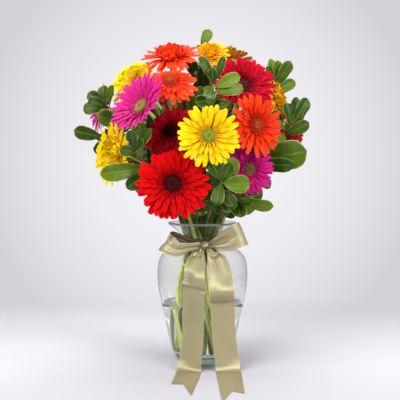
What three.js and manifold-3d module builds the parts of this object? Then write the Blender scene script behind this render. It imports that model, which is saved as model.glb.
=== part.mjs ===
// Gerberas and leafy branches in a clear glass vase, with a satin ribbon tied round its neck.
// Millimetres, +Z up. The origin is the middle of the vase's foot, and the front of the bouquet faces -Y.
import * as THREE from "three";
import { mergeVertices } from "three/addons/utils/BufferGeometryUtils.js";
import Module from "manifold-3d";

const wasm = await Module();
wasm.setup();

// Driving dimensions
const GAP = 0.3;
const UP = new THREE.Vector3(0, 0, 1);
const DOME = new THREE.Vector3(-15, 0, 320);
const GOLDEN = THREE.MathUtils.degToRad(137.508);

// Vase: the outer profile as radius and height, foot first, and the thickness of the glass
const VASE = {
  profile: [
    [36, 0],
    [43.5, 15],
    [51.5, 44],
    [59, 78],
    [64.8, 110],
    [65.8, 130],
    [62, 150],
    [50, 162],
    [34, 168.2],
    [28.5, 175],
    [31.5, 183],
    [40, 191.5],
    [50, 199],
  ],
  wall: 2.8,
  floor: 9,
  sides: 20,
};
const WATER_LEVEL = 84;

// Stems: they fill a round bundle in the neck, spread in the belly and turn on the way to the foot
const NECK = { z: 174, bundle: 21.5, lean: 1.1 };
const BELLY = { z: 98, spread: 1.85, turn: THREE.MathUtils.degToRad(28) };
const FOOT = { z: 15, spread: 1.65, turn: THREE.MathUtils.degToRad(66) };
const CURVE = { rise: 0.3, lean: 0.12, arrive: 0.38 };
const SETTLE = { points: 42, held: 3, rounds: 100, clearance: 4.5, push: 0.35, smooth: 0.3, step: 0.8 };
const STEM = { radius: 2.7, sides: 5, steps: 5 };
const CALYX = { radius: 8.5, length: 9, flareAt: 0.45, flare: 0.72 };
const TWIG = { radius: 1.9, tipRadius: 1.5, sides: 5, steps: 5, root: 0.5, lastRoot: 0.98 };

// Blooms: hub and petal lengths as shares of the bloom's radius, the rings of the hub as share of its radius
// and height over its base, and the two layers as reach, slope, height over the base and droop
const HEAD = { hub: 0.21, depth: 6, crown: 0.8, closedCrown: 7, blade: 0.9 };
const PETAL = { valley: 0.56, blunt: 0.32, ragged: 0.08, lift: 3 };
const HUB = { base: [0.95, 0], between: [1, 1.6], collar: [0.94, 3.4], rim: [0.86, 5.2] };
const LAYERS = [
  [1, 0.18, 0.3, 3.5],
  [0.7, 0.5, 2, 2],
];

// Leaves: half the blade's thickness, how far the edges stand over the rib, how far the tip drops, how much
// those before the middle turn to the front, and the blade's stations as share of the length, half width as
// share of the width, and arch as share of the length
const LEAF = { half: 0.45, fold: 0.12, drop: 0.03, rootWidth: 0.75, front: 220, behind: 40 };
const STATIONS = [
  [0, 0, 0],
  [0.36, 0.36, 0.05],
  [0.76, 0.5, 0.04],
];
// The filler leaves have fewer stations
const PLAIN_STATIONS = [
  [0, 0, 0],
  [0.66, 0.5, 0.05],
];

// Filler leaves, which fill the bouquet between the heads: how many a twig has, the stretch of it that
// carries them, their size, how much they rise, how many turns round the twig are tried, the room that they
// keep to stems and leaves, how much they turn to the front and how low they may come. Then the room round
// a head: past its rim, before and behind its petals, and round its cup. A leaf is tried at spots, given as
// share of its length and of its width. Fillers face away from the core of the bouquet.
const FILL = {
  count: 3, from: 0.55, to: 0.92, length: 42, width: 22, rise: 0.3, tries: 34, room: 6,
  front: 110, lowest: 216,
};
const AROUND = { rim: 3, front: 9, back: 11, cup: 13, cupDepth: 22 };
const SPOTS = [0.2, 0.35, 0.55, 0.75, 0.95].flatMap((share) => [[share, -0.45], [share, 0], [share, 0.45]]);
const CORE = new THREE.Vector3(-5, 0, 215);

// Ribbon: one satin band, tied in a bow with two tails that reach the table
const RIBBON = { width: 34, thickness: 1, extraSamples: 1 };
const KNOT = { at: [3.5, -45.5, 172], half: [6.5, 13, 4.8], sides: 12, rings: 8 };
const BAND = { radius: 32.3, low: 170.8, high: 179 };

// Ribbon runs: points on the middle line, the way the width runs there, and the share of the full width.
// Loops start and end at the knot. Tails hang over the belly, bend on the table and end in two cut tips,
// whose reach past the last point is given for the outer edge, the middle and the inner edge.
const LOOPS = {
  ribbon_loop_left: [
    [[-3.1, -50, 170.5], [0.2, -0.3, 0.9], 0.3],
    [[-19.5, -58, 168.8], [0.3, 0, 0.95], 0.36],
    [[-35, -64, 167.5], [0.45, 0.2, 0.85], 0.62],
    [[-46, -63, 172.5], [0.58, 0.1, 0.8], 0.8],
    [[-51.5, -56, 176.8], [0.63, 0.1, 0.78], 0.86],
    [[-44, -49, 177.5], [0.58, 0.1, 0.8], 0.84],
    [[-33, -47, 175.5], [0.5, 0.1, 0.85], 0.72],
    [[-20, -45, 172.5], [0.4, 0.1, 0.9], 0.48],
    [[-3.1, -42.5, 172.5], [0.2, 0, 1], 0.25],
  ],
  ribbon_loop_right: [
    [[10.5, -50, 171.5], [-0.1, -0.3, 0.9], 0.3],
    [[20, -58, 174.5], [-0.3, -0.1, 0.93], 0.56],
    [[35, -62, 179.5], [-0.4, 0, 0.92], 0.92],
    [[50, -62, 186.5], [-0.42, 0.05, 0.9], 1],
    [[57.5, -54, 189], [-0.42, 0.05, 0.9], 1],
    [[50, -47, 188.5], [-0.42, 0.05, 0.9], 1],
    [[35, -44, 185], [-0.38, 0.1, 0.91], 0.86],
    [[22, -42, 181], [-0.3, 0.1, 0.93], 0.6],
    [[10.4, -42.5, 174], [-0.1, 0, 1], 0.25],
  ],
};
const TAILS = {
  ribbon_tail_left: {
    run: [
      [[-0.6, -53.2, 166.2], [0.9, -0.2, 0.3], 0.3],
      [[-6.5, -60, 159], [0.92, -0.3, 0.1], 0.62],
      [[-10.2, -67, 150], [0.9, -0.4, 0], 0.84],
      [[-11.6, -76, 138], [0.89, -0.45, 0], 0.94],
      [[-12, -80, 127.5], [0.88, -0.47, 0], 0.98],
      [[-12.2, -77.5, 119], [0.88, -0.47, 0], 1],
      [[-12.3, -71.5, 112], [0.88, -0.47, 0], 1],
      [[-12.6, -69.2, 98], [0.88, -0.47, 0], 1],
      [[-13.5, -69.4, 52], [0.88, -0.47, 0], 1],
      [[-17, -69.4, 14], [0.9, -0.42, 0], 1],
      [[-18.5, -73, 2.4], [0.97, -0.25, 0], 1],
      [[-19.5, -84, 0.5], [1, 0, 0], 1],
      [[-24.5, -132, 0.5], [1, -0.1, 0], 0.93],
    ],
    cut: [6, 3, 54],
  },
  ribbon_tail_right: {
    run: [
      [[7.9, -53.5, 165.9], [0.9, 0.2, -0.3], 0.3],
      [[15.5, -59, 159], [0.95, 0.15, -0.2], 0.66],
      [[21, -64.5, 149], [0.97, 0.2, 0], 0.88],
      [[24.4, -74, 133], [0.97, 0.22, 0], 0.98],
      [[25.8, -82, 118], [0.97, 0.22, 0], 1],
      [[26.5, -83.5, 108.5], [0.97, 0.22, 0], 1],
      [[27, -78, 100], [0.97, 0.22, 0], 1],
      [[27.2, -70.5, 93.5], [0.97, 0.22, 0], 1],
      [[27.8, -67.2, 82], [0.97, 0.22, 0], 1],
      [[29.8, -66.5, 48], [0.97, 0.22, 0], 1],
      [[34, -68, 14], [0.98, 0.15, 0], 1],
      [[35, -72, 2.4], [1, 0.05, 0], 1],
      [[35.5, -84, 0.5], [1, 0, 0], 1],
      [[36.8, -160, 0.5], [1, 0, 0], 0.86],
    ],
    cut: [53, 8, 18],
  },
};

const COLOURS = {
  red: 0xd80510,
  yellow: 0xffd012,
  pink: 0xea3399,
  magenta: 0xb01264,
  orange: 0xff4a1e,
  burgundy: 0x73000f,
  crimson: 0xb20326,
  amber: 0xff9c10,
  stem: 0x9fb04e,
  leaf: 0x35611f,
  ribbon: 0xaea378,
  glass: 0xdfe8e4,
  water: 0xe4eee6,
};

// Every bloom: the middle of its disc, the way it faces (degrees round from the front, degrees up), its
// radius, its petals in a layer, how much steeper its petals rise, whether its middle is closed, and the
// sides on which its petals are pressed back and stay short (degrees, millimetres, share of their length)
const BLOOMS = {
  red_front: {
    at: [-40, -108, 259], face: [-4, -3], radius: 52, petals: 11, colour: "red", press: [[90, 0, 0.14]],
  },
  yellow_centre: { at: [8, -128, 321], face: [2, 4], radius: 43, petals: 11, colour: "yellow" },
  burgundy: {
    at: [-45, -90, 330], face: [-3, 4], radius: 41, petals: 10, colour: "burgundy", press: [[138, 2, 0.36]],
  },
  pink_left: {
    at: [-84, -100, 363], face: [-42, 26], radius: 46, petals: 11, colour: "pink", cup: 0.35,
    press: [[-60, 0, 0.12]],
  },
  orange_top: {
    at: [-46, -31, 443], face: [-8, 57], radius: 43, petals: 11, colour: "orange", closed: true,
    press: [[-90, 8, 0]],
  },
  orange_upper: {
    at: [-44, -88, 400], face: [8, 32], radius: 40, petals: 10, colour: "orange",
    press: [[92, 18, 0.5], [190, 7, 0.3]],
  },
  yellow_upper_left: {
    at: [-90, -45, 404], face: [-25, 28], radius: 46, petals: 11, colour: "yellow", closed: true,
    press: [[0, 6, 0.45], [60, 8, 0.3]],
  },
  amber_top: {
    at: [10, -14, 449], face: [-5, 40], radius: 31, petals: 10, colour: "amber", closed: true,
    press: [[-90, 4, 0], [185, 8, 0.42]],
  },
  amber_back: { at: [49, 44, 448], face: [150, 58], radius: 35, petals: 9, colour: "amber" },
  crimson_upper_right: {
    at: [58, -50, 398], face: [14, 28], radius: 49, petals: 11, colour: "crimson", cup: 0.1,
    press: [[-90, 6, 0.3]],
  },
  orange_right: { at: [75, -88, 338], face: [36, 6], radius: 46, petals: 11, colour: "orange" },
  magenta_lower_right: { at: [64, -82, 278], face: [16, -4], radius: 38, petals: 10, colour: "magenta" },
  yellow_lower_left: {
    at: [-122, -62, 298], face: [-52, 0], radius: 46, petals: 11, colour: "yellow", cup: 0.2, closed: true,
    press: [[-30, 4, 0.2]],
  },
  pink_far_left: { at: [-154, 4, 368], face: [-62, 6], radius: 38, petals: 9, colour: "pink" },
  amber_right: { at: [112, -15, 382], face: [60, 10], radius: 30, petals: 9, colour: "amber", closed: true },
  orange_far_right: {
    at: [137, 50, 350], face: [122, 8], radius: 39, petals: 9, colour: "orange", press: [[110, 2, 0.2]],
  },
  magenta_far_right: { at: [128, 8, 316], face: [86, -4], radius: 38, petals: 8, colour: "magenta" },
  red_back: { at: [0, 118, 344], face: [178, 12], radius: 46, petals: 9, colour: "red" },
  yellow_back: { at: [61, 97, 275], face: [150, -4], radius: 43, petals: 10, colour: "yellow" },
  orange_back: { at: [-86, 84, 286], face: [216, 0], radius: 44, petals: 9, colour: "orange" },
  pink_back: { at: [-78, 70, 392], face: [215, 36], radius: 45, petals: 9, colour: "pink" },
};

// Every leafy branch: where its twig ends and which way it points there. A leaf is rooted at a share of the
// twig's length, ends at a point and has a width. A whorl spreads round the twig's end by rule instead.
const BRANCHES = {
  branch_front: {
    tip: [25, -110, 262],
    aim: [0.1, -0.8, 0.6],
    leaves: [
      [1, [6, -124, 297], 21],
      [1, [37, -120, 286], 17],
      [0.97, [62, -122, 259], 25],
      [0.94, [17, -112, 230], 18],
    ],
  },
  branch_centre_top: {
    tip: [14, -86, 393],
    aim: [0, -0.5, 0.86],
    leaves: [
      [1, [-2, -92, 430], 14],
      [1, [29, -92, 430], 11],
      [1, [12, -96, 414], 13],
      [0.98, [50, -100, 402], 19],
      [0.95, [54, -104, 385], 18],
      [0.9, [-10, -98, 367], 18],
      [0.84, [-10, -74, 390], 18],
      [0.87, [33, -108, 364], 14],
    ],
  },
  branch_top: {
    tip: [-3, 34, 462],
    aim: [0, 0.1, 1],
    leaves: [
      [1, [11, 28, 490], 18],
      [0.96, [-36, 40, 452], 18],
      [0.94, [16, 70, 466], 17],
      [0.9, [-24, 72, 444], 18],
    ],
  },
  branch_right_top: {
    tip: [106, 18, 400],
    aim: [0.4, 0, 0.9],
    leaves: [
      [1, [130, 2, 438], 20],
      [1, [112, 6, 440], 19],
      [0.98, [104, 26, 446], 17],
      [0.96, [94, -12, 428], 21],
      [0.94, [140, 26, 412], 18],
    ],
  },
  branch_right: {
    tip: [124, -34, 336],
    aim: [0.7, -0.4, 0.5],
    leaves: [
      [1, [150, -32, 380], 21],
      [1, [118, -42, 372], 21],
      [0.97, [138, -18, 383], 18],
      [0.94, [150, -46, 344], 19],
      [0.66, [146, -50, 303], 44],
      [0.62, [128, -52, 284], 22],
    ],
  },
  branch_right_low: {
    tip: [50, -58, 238],
    aim: [0.6, -0.6, 0.3],
    leaves: [
      [1, [96, -82, 227], 18],
      [1, [72, -58, 220], 24],
      [0.97, [32, -64, 212], 22],
      [0.93, [63, -95, 236], 19],
      [0.955, [52, -72, 212], 22],
      [0.8, [86, -40, 246], 22],
    ],
  },
  branch_left_top: {
    tip: [-138, -34, 370],
    aim: [-0.8, -0.3, 0.5],
    leaves: [
      [1, [-163, -38, 386], 18],
      [1, [-140, -34, 398], 17],
      [0.99, [-170, -34, 363], 21],
      [0.98, [-160, -52, 374], 17],
      [0.97, [-124, -62, 394], 14],
      [0.84, [-144, -70, 351], 26],
      [0.8, [-126, -60, 351], 20],
    ],
  },
  branch_left: {
    tip: [-142, -18, 325],
    aim: [-0.9, -0.1, 0.2],
    leaves: [
      [1, [-184, -28, 334], 21],
      [0.95, [-158, 12, 300], 20],
      [0.92, [-148, 24, 334], 20],
    ],
  },
  branch_left_front: {
    tip: [-90, -98, 303],
    aim: [-0.4, -0.6, 0.6],
    leaves: [
      [1, [-93, -127, 328], 17],
      [1, [-80, -119, 318], 16],
      [0.99, [-68, -116, 331], 15],
      [0.97, [-109, -112, 304], 16],
      [0.8, [-136, -104, 271], 25],
      [0.76, [-102, -92, 252], 21],
      [0.9, [-74, -88, 292], 19],
    ],
  },
  branch_back_left: { tip: [-66, 104, 346], aim: [-0.2, 0.7, 0.5], whorl: [6, 38, 20] },
  branch_back_right: { tip: [78, 84, 340], aim: [0.6, 0.7, 0.4], whorl: [6, 43, 21] },
};
const FIRST_SEED = 11;
const WHORL = { spread: 62, wider: 4, step: 0.05 };

// Joins and cuts
function toSolid(geometry) {
  const bare = new THREE.BufferGeometry().setAttribute("position", geometry.getAttribute("position"));
  bare.setIndex(geometry.index);
  const merged = mergeVertices(bare, 1e-4);
  return new wasm.Manifold(
    new wasm.Mesh({
      numProp: 3,
      vertProperties: new Float32Array(merged.attributes.position.array),
      triVerts: new Uint32Array(merged.index.array),
    }),
  );
}

function toGeometry(solid) {
  const mesh = solid.getMesh();
  const geometry = new THREE.BufferGeometry();
  geometry.setAttribute("position", new THREE.BufferAttribute(new Float32Array(mesh.vertProperties), 3));
  geometry.setIndex(new THREE.BufferAttribute(new Uint32Array(mesh.triVerts), 1));
  geometry.computeVertexNormals();
  return geometry;
}

// A seeded random draw, the same on every run
function seeded(seed) {
  let state = seed;
  return () => {
    state = (state * 16807) % 2147483647;
    return state / 2147483647;
  };
}

// A closed skin over rings that have the same number of points, with flat ends
function skin(rings) {
  const count = rings[0].length;
  const points = rings.flat();
  const faces = [];
  for (let r = 0; r + 1 < rings.length; r++) {
    for (let i = 0; i < count; i++) {
      const a = r * count + i;
      const b = r * count + ((i + 1) % count);
      faces.push(a, b, b + count, a, b + count, a + count);
    }
  }
  const last = (rings.length - 1) * count;
  for (let i = 1; i + 1 < count; i++) {
    faces.push(0, i + 1, i, last, last + i, last + i + 1);
  }
  return indexed(points, faces);
}

function indexed(points, faces) {
  const geometry = new THREE.BufferGeometry().setFromPoints(points);
  geometry.setIndex(faces);
  geometry.computeVertexNormals();
  return geometry;
}

// A tube with few sides along a path, its radius given at every point
function tube(path, radii, sides, endTangent) {
  const rings = [];
  let tangent = path[1].clone().sub(path[0]).normalize();
  let side = new THREE.Vector3(1, 0, 0).cross(tangent).normalize();
  path.forEach((point, i) => {
    const before = path[Math.max(i - 1, 0)];
    const after = path[Math.min(i + 1, path.length - 1)];
    let next = after.clone().sub(before).normalize();
    if (i + 1 === path.length && endTangent) {
      next = endTangent.clone();
    }
    side = side.applyQuaternion(new THREE.Quaternion().setFromUnitVectors(tangent, next));
    tangent = next;
    const other = tangent.clone().cross(side);
    const ring = [];
    for (let s = 0; s < sides; s++) {
      const turn = (2 * Math.PI * s) / sides;
      ring.push(
        point
          .clone()
          .addScaledVector(side, radii[i] * Math.cos(turn))
          .addScaledVector(other, radii[i] * Math.sin(turn)),
      );
    }
    rings.push(ring);
  });
  return skin(rings);
}

// Vase and water
function innerProfile(offset) {
  const outer = VASE.profile.map(([r, z]) => new THREE.Vector2(r, z));
  return outer.map((point, i) => {
    const along = outer[Math.min(i + 1, outer.length - 1)].clone().sub(outer[Math.max(i - 1, 0)]);
    const inward = new THREE.Vector2(-along.y, along.x).normalize();
    return point.clone().addScaledVector(inward, offset);
  });
}

function lathe(points) {
  const geometry = new THREE.LatheGeometry(points, VASE.sides);
  geometry.rotateX(Math.PI / 2);
  return geometry;
}

function clipped(points, low, high) {
  const out = [];
  points.forEach((point, i) => {
    const next = points[i + 1];
    if (point.y >= low && point.y <= high) {
      out.push(point);
    }
    if (!next) {
      return;
    }
    [low, high].forEach((level) => {
      if (point.y < level && next.y > level) {
        out.push(point.clone().lerp(next, (level - point.y) / (next.y - point.y)));
      }
    });
  });
  return out;
}

function vaseGeometry() {
  const outer = VASE.profile.map(([r, z]) => new THREE.Vector2(r, z));
  const inner = clipped(innerProfile(VASE.wall), VASE.floor, 1e3);
  const profile = [new THREE.Vector2(0, 0), ...outer, ...inner.reverse(), new THREE.Vector2(0, VASE.floor)];
  return lathe(profile);
}

function waterGeometry(stems) {
  const bottom = VASE.floor + GAP;
  const wall = clipped(innerProfile(VASE.wall + GAP), bottom, WATER_LEVEL);
  const profile = [new THREE.Vector2(0, bottom), ...wall, new THREE.Vector2(0, WATER_LEVEL)];
  let water = toSolid(lathe(profile));
  for (const stem of stems) {
    const radius = (stem.radius + GAP) / Math.cos(Math.PI / STEM.sides);
    const down = stem.foot.clone().sub(stem.belly).normalize();
    const path = [stem.foot.clone().addScaledVector(down, GAP), stem.belly];
    water = water.subtract(toSolid(tube(path, [radius, radius], STEM.sides)));
  }
  return toGeometry(water);
}

// A strip of ribbon along a run, five points across its section: it stays on the table where it reaches it
function ribbonGeometry(run, cut = [0, 0, 0]) {
  const curve = new THREE.CatmullRomCurve3(run.map(([at]) => new THREE.Vector3(...at)));
  const across = new THREE.CatmullRomCurve3(run.map(([, way]) => new THREE.Vector3(...way)));
  const sections = [];
  const samples = run.length + RIBBON.extraSamples;
  for (let i = 0; i <= samples; i++) {
    const share = i / samples;
    const place = share * (run.length - 1);
    const low = Math.min(Math.floor(place), run.length - 2);
    const width = RIBBON.width * THREE.MathUtils.lerp(run[low][2], run[low + 1][2], place - low);
    const middle = curve.getPoint(share);
    const along = curve.getTangent(share);
    const way = across.getPoint(share);
    way.addScaledVector(along, -way.dot(along)).normalize();
    const face = along.clone().cross(way);
    const put = (side, front) => {
      const past = i === samples ? cut[side + 1] : 0;
      const point = middle.clone().addScaledVector(way, (side * width) / 2).addScaledVector(along, past);
      point.addScaledVector(face, ((front ? 1 : -1) * RIBBON.thickness) / 2);
      point.z = Math.max(point.z, front ? RIBBON.thickness : 0);
      return point;
    };
    sections.push([put(-1, 1), put(0, 1), put(1, 1), put(1, 0), put(0, 0), put(-1, 0)]);
  }
  return capped(sections);
}

// Sections of six points, three above and three below, closed by two quads at each end
function capped(sections) {
  const points = sections.flat();
  const faces = [];
  const quad = (a, b, c, d) => faces.push(a, c, b, a, d, c);
  for (let r = 0; r + 1 < sections.length; r++) {
    for (let i = 0; i < 6; i++) {
      const a = 6 * r + i;
      const b = 6 * r + ((i + 1) % 6);
      quad(a, b, b + 6, a + 6);
    }
  }
  const last = 6 * (sections.length - 1);
  quad(0, 5, 4, 1);
  quad(1, 4, 3, 2);
  quad(last, last + 1, last + 4, last + 5);
  quad(last + 1, last + 2, last + 3, last + 4);
  return indexed(points, faces);
}

// The knot and the band that it holds round the neck
function knotGeometry() {
  const { radius, low, high } = BAND;
  const t = RIBBON.thickness;
  const profile = [[radius, high], [radius, low], [radius + t, low], [radius + t, high], [radius, high]];
  const band = new THREE.LatheGeometry(profile.map(([r, z]) => new THREE.Vector2(r, z)), VASE.sides);
  band.rotateX(Math.PI / 2);
  const knot = new THREE.SphereGeometry(1, KNOT.sides, KNOT.rings);
  knot.rotateX(Math.PI / 2);
  knot.scale(...KNOT.half);
  knot.translate(...KNOT.at);
  return toGeometry(toSolid(band).add(toSolid(knot)));
}

// The way a bloom faces, from its degrees round and up
function facing([round, up]) {
  const a = THREE.MathUtils.degToRad(round);
  const e = THREE.MathUtils.degToRad(up);
  return new THREE.Vector3(Math.sin(a) * Math.cos(e), -Math.cos(a) * Math.cos(e), Math.sin(e));
}

// Each stem and twig gets its place in the neck: the ones that lean out furthest choose first
function placeInNeck(ends) {
  const places = ends.map((_, i) => {
    const r = NECK.bundle * Math.sqrt((i + 0.5) / ends.length);
    return new THREE.Vector2(r * Math.cos(i * GOLDEN), r * Math.sin(i * GOLDEN));
  });
  const wishes = ends.map((end) => {
    const away = end.clone().setZ(end.z - NECK.z).normalize();
    return new THREE.Vector2(away.x, away.y).multiplyScalar(NECK.bundle * NECK.lean);
  });
  const order = ends.map((_, i) => i);
  order.sort((a, b) => wishes[b].length() - wishes[a].length());
  const chosen = [];
  for (const i of order) {
    places.sort((a, b) => a.distanceTo(wishes[i]) - b.distanceTo(wishes[i]));
    chosen[i] = places.shift();
  }
  return chosen;
}

// The line of a stem: by way of the belly to the neck, then one curve to its end, in many short steps
function stemLine(place, end, direction, radius) {
  const neck = new THREE.Vector3(place.x, place.y, NECK.z);
  const below = ({ z, spread, turn }) => {
    const at = place.clone().rotateAround(new THREE.Vector2(), turn).multiplyScalar(spread);
    return new THREE.Vector3(at.x, at.y, z);
  };
  const foot = below(FOOT);
  const belly = below(BELLY);
  const reach = end.distanceTo(neck);
  const rise = neck.clone().sub(foot).normalize();
  const outward = new THREE.Vector3(end.x, end.y, 0).multiplyScalar(CURVE.lean);
  const curve = new THREE.CubicBezierCurve3(
    neck,
    neck.clone().addScaledVector(rise, reach * CURVE.rise).add(outward),
    end.clone().addScaledVector(direction, -reach * CURVE.arrive),
    end,
  );
  return { foot, belly, radius, points: curve.getPoints(SETTLE.points) };
}

// The stems make room for one another above the neck: points that are too near push apart, then each line is
// smoothed a little. The first point and the last few stay where they are.
function settle(lines) {
  const last = SETTLE.points - SETTLE.held;
  for (let round = 0; round < SETTLE.rounds; round++) {
    const pushes = lines.map((line) => line.points.map(() => new THREE.Vector3()));
    lines.forEach((line, i) => {
      for (let j = i + 1; j < lines.length; j++) {
        const need = line.radius + lines[j].radius + SETTLE.clearance;
        line.points.forEach((p, a) => {
          lines[j].points.forEach((q, b) => {
            if (Math.abs(p.z - q.z) > need || Math.abs(p.x - q.x) > need) {
              return;
            }
            const apart = p.clone().sub(q);
            const distance = apart.length();
            if (distance < need) {
              apart.multiplyScalar((SETTLE.push * (need - distance)) / distance);
              pushes[i][a].add(apart);
              pushes[j][b].sub(apart);
            }
          });
        });
      }
    });
    lines.forEach((line, i) => {
      const next = line.points.map((p, a) => {
        if (a === 0 || a > last) {
          return p;
        }
        const middle = line.points[a - 1].clone().add(line.points[a + 1]).multiplyScalar(0.5);
        return p.clone().lerp(middle, SETTLE.smooth).add(pushes[i][a].clampLength(0, SETTLE.step));
      });
      line.points = next;
    });
  }
}

// A few of a line's points, enough for a tube with long steps
function pathOf(line, steps) {
  const picked = [line.foot, line.belly];
  for (let i = 0; i <= steps; i++) {
    picked.push(line.points[Math.round((i * SETTLE.points) / steps)]);
  }
  return picked;
}

// A bloom's stem, widening into the green cup under the petals
function stemGeometry(line, normal) {
  const end = line.points[SETTLE.points];
  const top = end.clone().addScaledVector(normal, CALYX.length);
  const middle = end.clone().addScaledVector(normal, CALYX.length * CALYX.flareAt);
  const path = [...pathOf(line, STEM.steps), middle, top];
  const radii = path.slice(2).map(() => STEM.radius);
  radii.push(CALYX.radius * CALYX.flare, CALYX.radius);
  return tube(path, radii, STEM.sides, normal);
}

// A bloom: two layers of blunt petals round a domed disc, one closed skin, facing +Z, its disc at the origin
function bloomGeometry(bloom, seed) {
  const draw = seeded(seed);
  const { radius, petals: count } = bloom;
  const hub = HEAD.hub * radius;
  const points = [];
  const faces = [];
  const add = (r, turn, z) => points.push(new THREE.Vector3(r * Math.cos(turn), r * Math.sin(turn), z)) - 1;
  const step = (2 * Math.PI) / count;
  const ring = ([share, z]) =>
    Array.from({ length: count }, (_, i) => add(share * hub, i * step, z - HEAD.depth));
  const strip = (low, high) => {
    for (let i = 0; i < count; i++) {
      const j = (i + 1) % count;
      faces.push(low[i], low[j], high[j], low[i], high[j], high[i]);
    }
  };
  const { press = [], cup = 0, closed = false } = bloom;
  const pressed = (turn, side) => Math.max(0, Math.cos(turn - THREE.MathUtils.degToRad(side)));
  const back = (turn) => press.reduce((sum, [side, depth]) => sum + depth * pressed(turn, side), 0);
  const short = (turn) => press.reduce((sum, [side, , share]) => sum + share * pressed(turn, side) ** 2, 0);
  // One layer: its lower face starts on ring low and its upper face ends on ring high
  const layer = (low, high, [reachShare, slope, lowZ, droop]) => {
    const reach = reachShare * radius;
    const height = (r, turn) => {
      const share = (r - hub) / (radius - hub);
      return lowZ - HEAD.depth + (slope + cup) * (r - hub) - (droop + back(turn)) * share * share;
    };
    const valleys = low.map((_, i) => {
      const r = PETAL.valley * reach;
      const z = height(r, i * step);
      return [add(r, i * step, z), add(r, i * step, z + HEAD.blade)];
    });
    for (let i = 0; i < count; i++) {
      const j = (i + 1) % count;
      const middle = (i + 0.5 + 0.1 * (draw() - 0.5)) * step;
      const full = reach * (1 + PETAL.ragged * (draw() - 0.6));
      const tip = full * (1 - short(middle));
      const lift = PETAL.lift * (draw() - 0.5);
      const half = step * PETAL.blunt;
      const z = height(tip, middle) + lift;
      const left = [add(tip, middle - half, z), add(tip, middle - half, z + HEAD.blade)];
      const right = [add(tip, middle + half, z), add(tip, middle + half, z + HEAD.blade)];
      const outline = [valleys[i], left, right, valleys[j]];
      const upper = [high[i], ...outline.map((p) => p[1]), high[j]];
      const lower = [low[i], ...outline.map((p) => p[0]), low[j]];
      for (const [a, b, c] of [[0, 1, 2], [0, 2, 5], [5, 2, 3], [5, 3, 4]]) {
        faces.push(upper[a], upper[b], upper[c], lower[a], lower[c], lower[b]);
      }
      for (let k = 0; k < 3; k++) {
        const [a, b] = [outline[k], outline[k + 1]];
        faces.push(a[0], b[0], b[1], a[0], b[1], a[1]);
      }
    }
  };
  const [base, between, collar, rim] = Object.values(HUB).map(ring);
  layer(base, between, LAYERS[0]);
  layer(between, collar, LAYERS[1]);
  strip(collar, rim);
  const crown = add(0, 0, closed ? HEAD.closedCrown : HEAD.crown);
  for (let i = 0; i < count; i++) {
    const j = (i + 1) % count;
    faces.push(rim[i], rim[j], crown);
  }
  for (let i = 1; i + 1 < count; i++) {
    faces.push(base[0], base[i + 1], base[i]);
  }
  return indexed(points, faces);
}

// A leaf: an egg-shaped blade folded along its rib, alike on both faces
function leafGeometry(root, { tip, width, outward, stations }) {
  const along = tip.clone().sub(root);
  const length = along.length();
  along.normalize();
  const side = along.clone().cross(outward).normalize();
  const normal = side.clone().cross(along);
  const points = [];
  const put = (share, across, lift, face) =>
    points.push(
      root
        .clone()
        .addScaledVector(along, share * length)
        .addScaledVector(side, across)
        .addScaledVector(normal, lift + face * LEAF.half),
    ) - 1;
  const rows = [1, -1].map((face) =>
    stations.map(([share, halfWidth, arch]) => {
      const across = halfWidth ? halfWidth * width : LEAF.rootWidth;
      const lift = arch * length;
      const edge = lift + (halfWidth ? width * LEAF.fold : 0);
      return [put(share, -across, edge, face), put(share, 0, lift, face), put(share, across, edge, face)];
    }),
  );
  const ends = [1, -1].map((face) => put(1, 0, -LEAF.drop * length, face));
  const faces = [];
  rows.forEach((row, f) => {
    const tri = (a, b, c) => faces.push(...(f ? [a, c, b] : [a, b, c]));
    for (let i = 0; i + 1 < row.length; i++) {
      const [a, b] = [row[i], row[i + 1]];
      tri(a[0], a[1], b[0]);
      tri(a[1], b[1], b[0]);
      tri(a[1], a[2], b[1]);
      tri(a[2], b[2], b[1]);
    }
    const last = row[row.length - 1];
    tri(last[0], last[1], ends[f]);
    tri(last[1], last[2], ends[f]);
  });
  const rim = (row, end) => [...row.map((r) => r[2]), end, ...row.map((r) => r[0]).reverse(), row[0][1]];
  const [upper, lower] = [rim(rows[0], ends[0]), rim(rows[1], ends[1])];
  for (let i = 0; i < upper.length; i++) {
    const j = (i + 1) % upper.length;
    faces.push(upper[i], lower[i], lower[j], upper[i], lower[j], upper[j]);
  }
  return indexed(points, faces);
}

// The point at a share of a path's length
function pointAlong(path, share) {
  const lengths = path.slice(1).map((point, i) => point.distanceTo(path[i]));
  let left = share * lengths.reduce((sum, length) => sum + length, 0);
  let i = 0;
  while (i + 1 < lengths.length && left > lengths[i]) {
    left -= lengths[i];
    i += 1;
  }
  return path[i].clone().lerp(path[i + 1], Math.min(left / lengths[i], 1));
}

// The way a leaf's upper face turns: out of the bouquet, and before its middle more to the front
function leafFacing(tip) {
  return turned(tip.clone().sub(DOME), tip, LEAF.front);
}

// A way that is turned more to the front where its point is before the middle
function turned(way, point, front) {
  way.y -= point.y < LEAF.behind ? front : 0;
  return way;
}

// A branch's leaves: the listed ones, or a whorl round the end of its twig
function leavesOf(branch, aim, line) {
  const leaf = (share, tip, width) => ({ share, tip, width, outward: leafFacing(tip), stations: STATIONS });
  if (branch.leaves) {
    return branch.leaves.map(([share, to, width]) => leaf(share, new THREE.Vector3(...to), width));
  }
  const [count, length, width] = branch.whorl;
  const side = UP.clone().cross(aim).normalize();
  return Array.from({ length: count }, (_, k) => {
    const share = 1 - WHORL.step * k;
    const round = side.clone().applyAxisAngle(aim, k * GOLDEN);
    const spread = THREE.MathUtils.degToRad(WHORL.spread + WHORL.wider * k);
    const way = aim.clone().multiplyScalar(Math.cos(spread)).addScaledVector(round, Math.sin(spread));
    return leaf(share, pointAlong(line.points, share).addScaledVector(way, length), width);
  });
}

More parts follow.
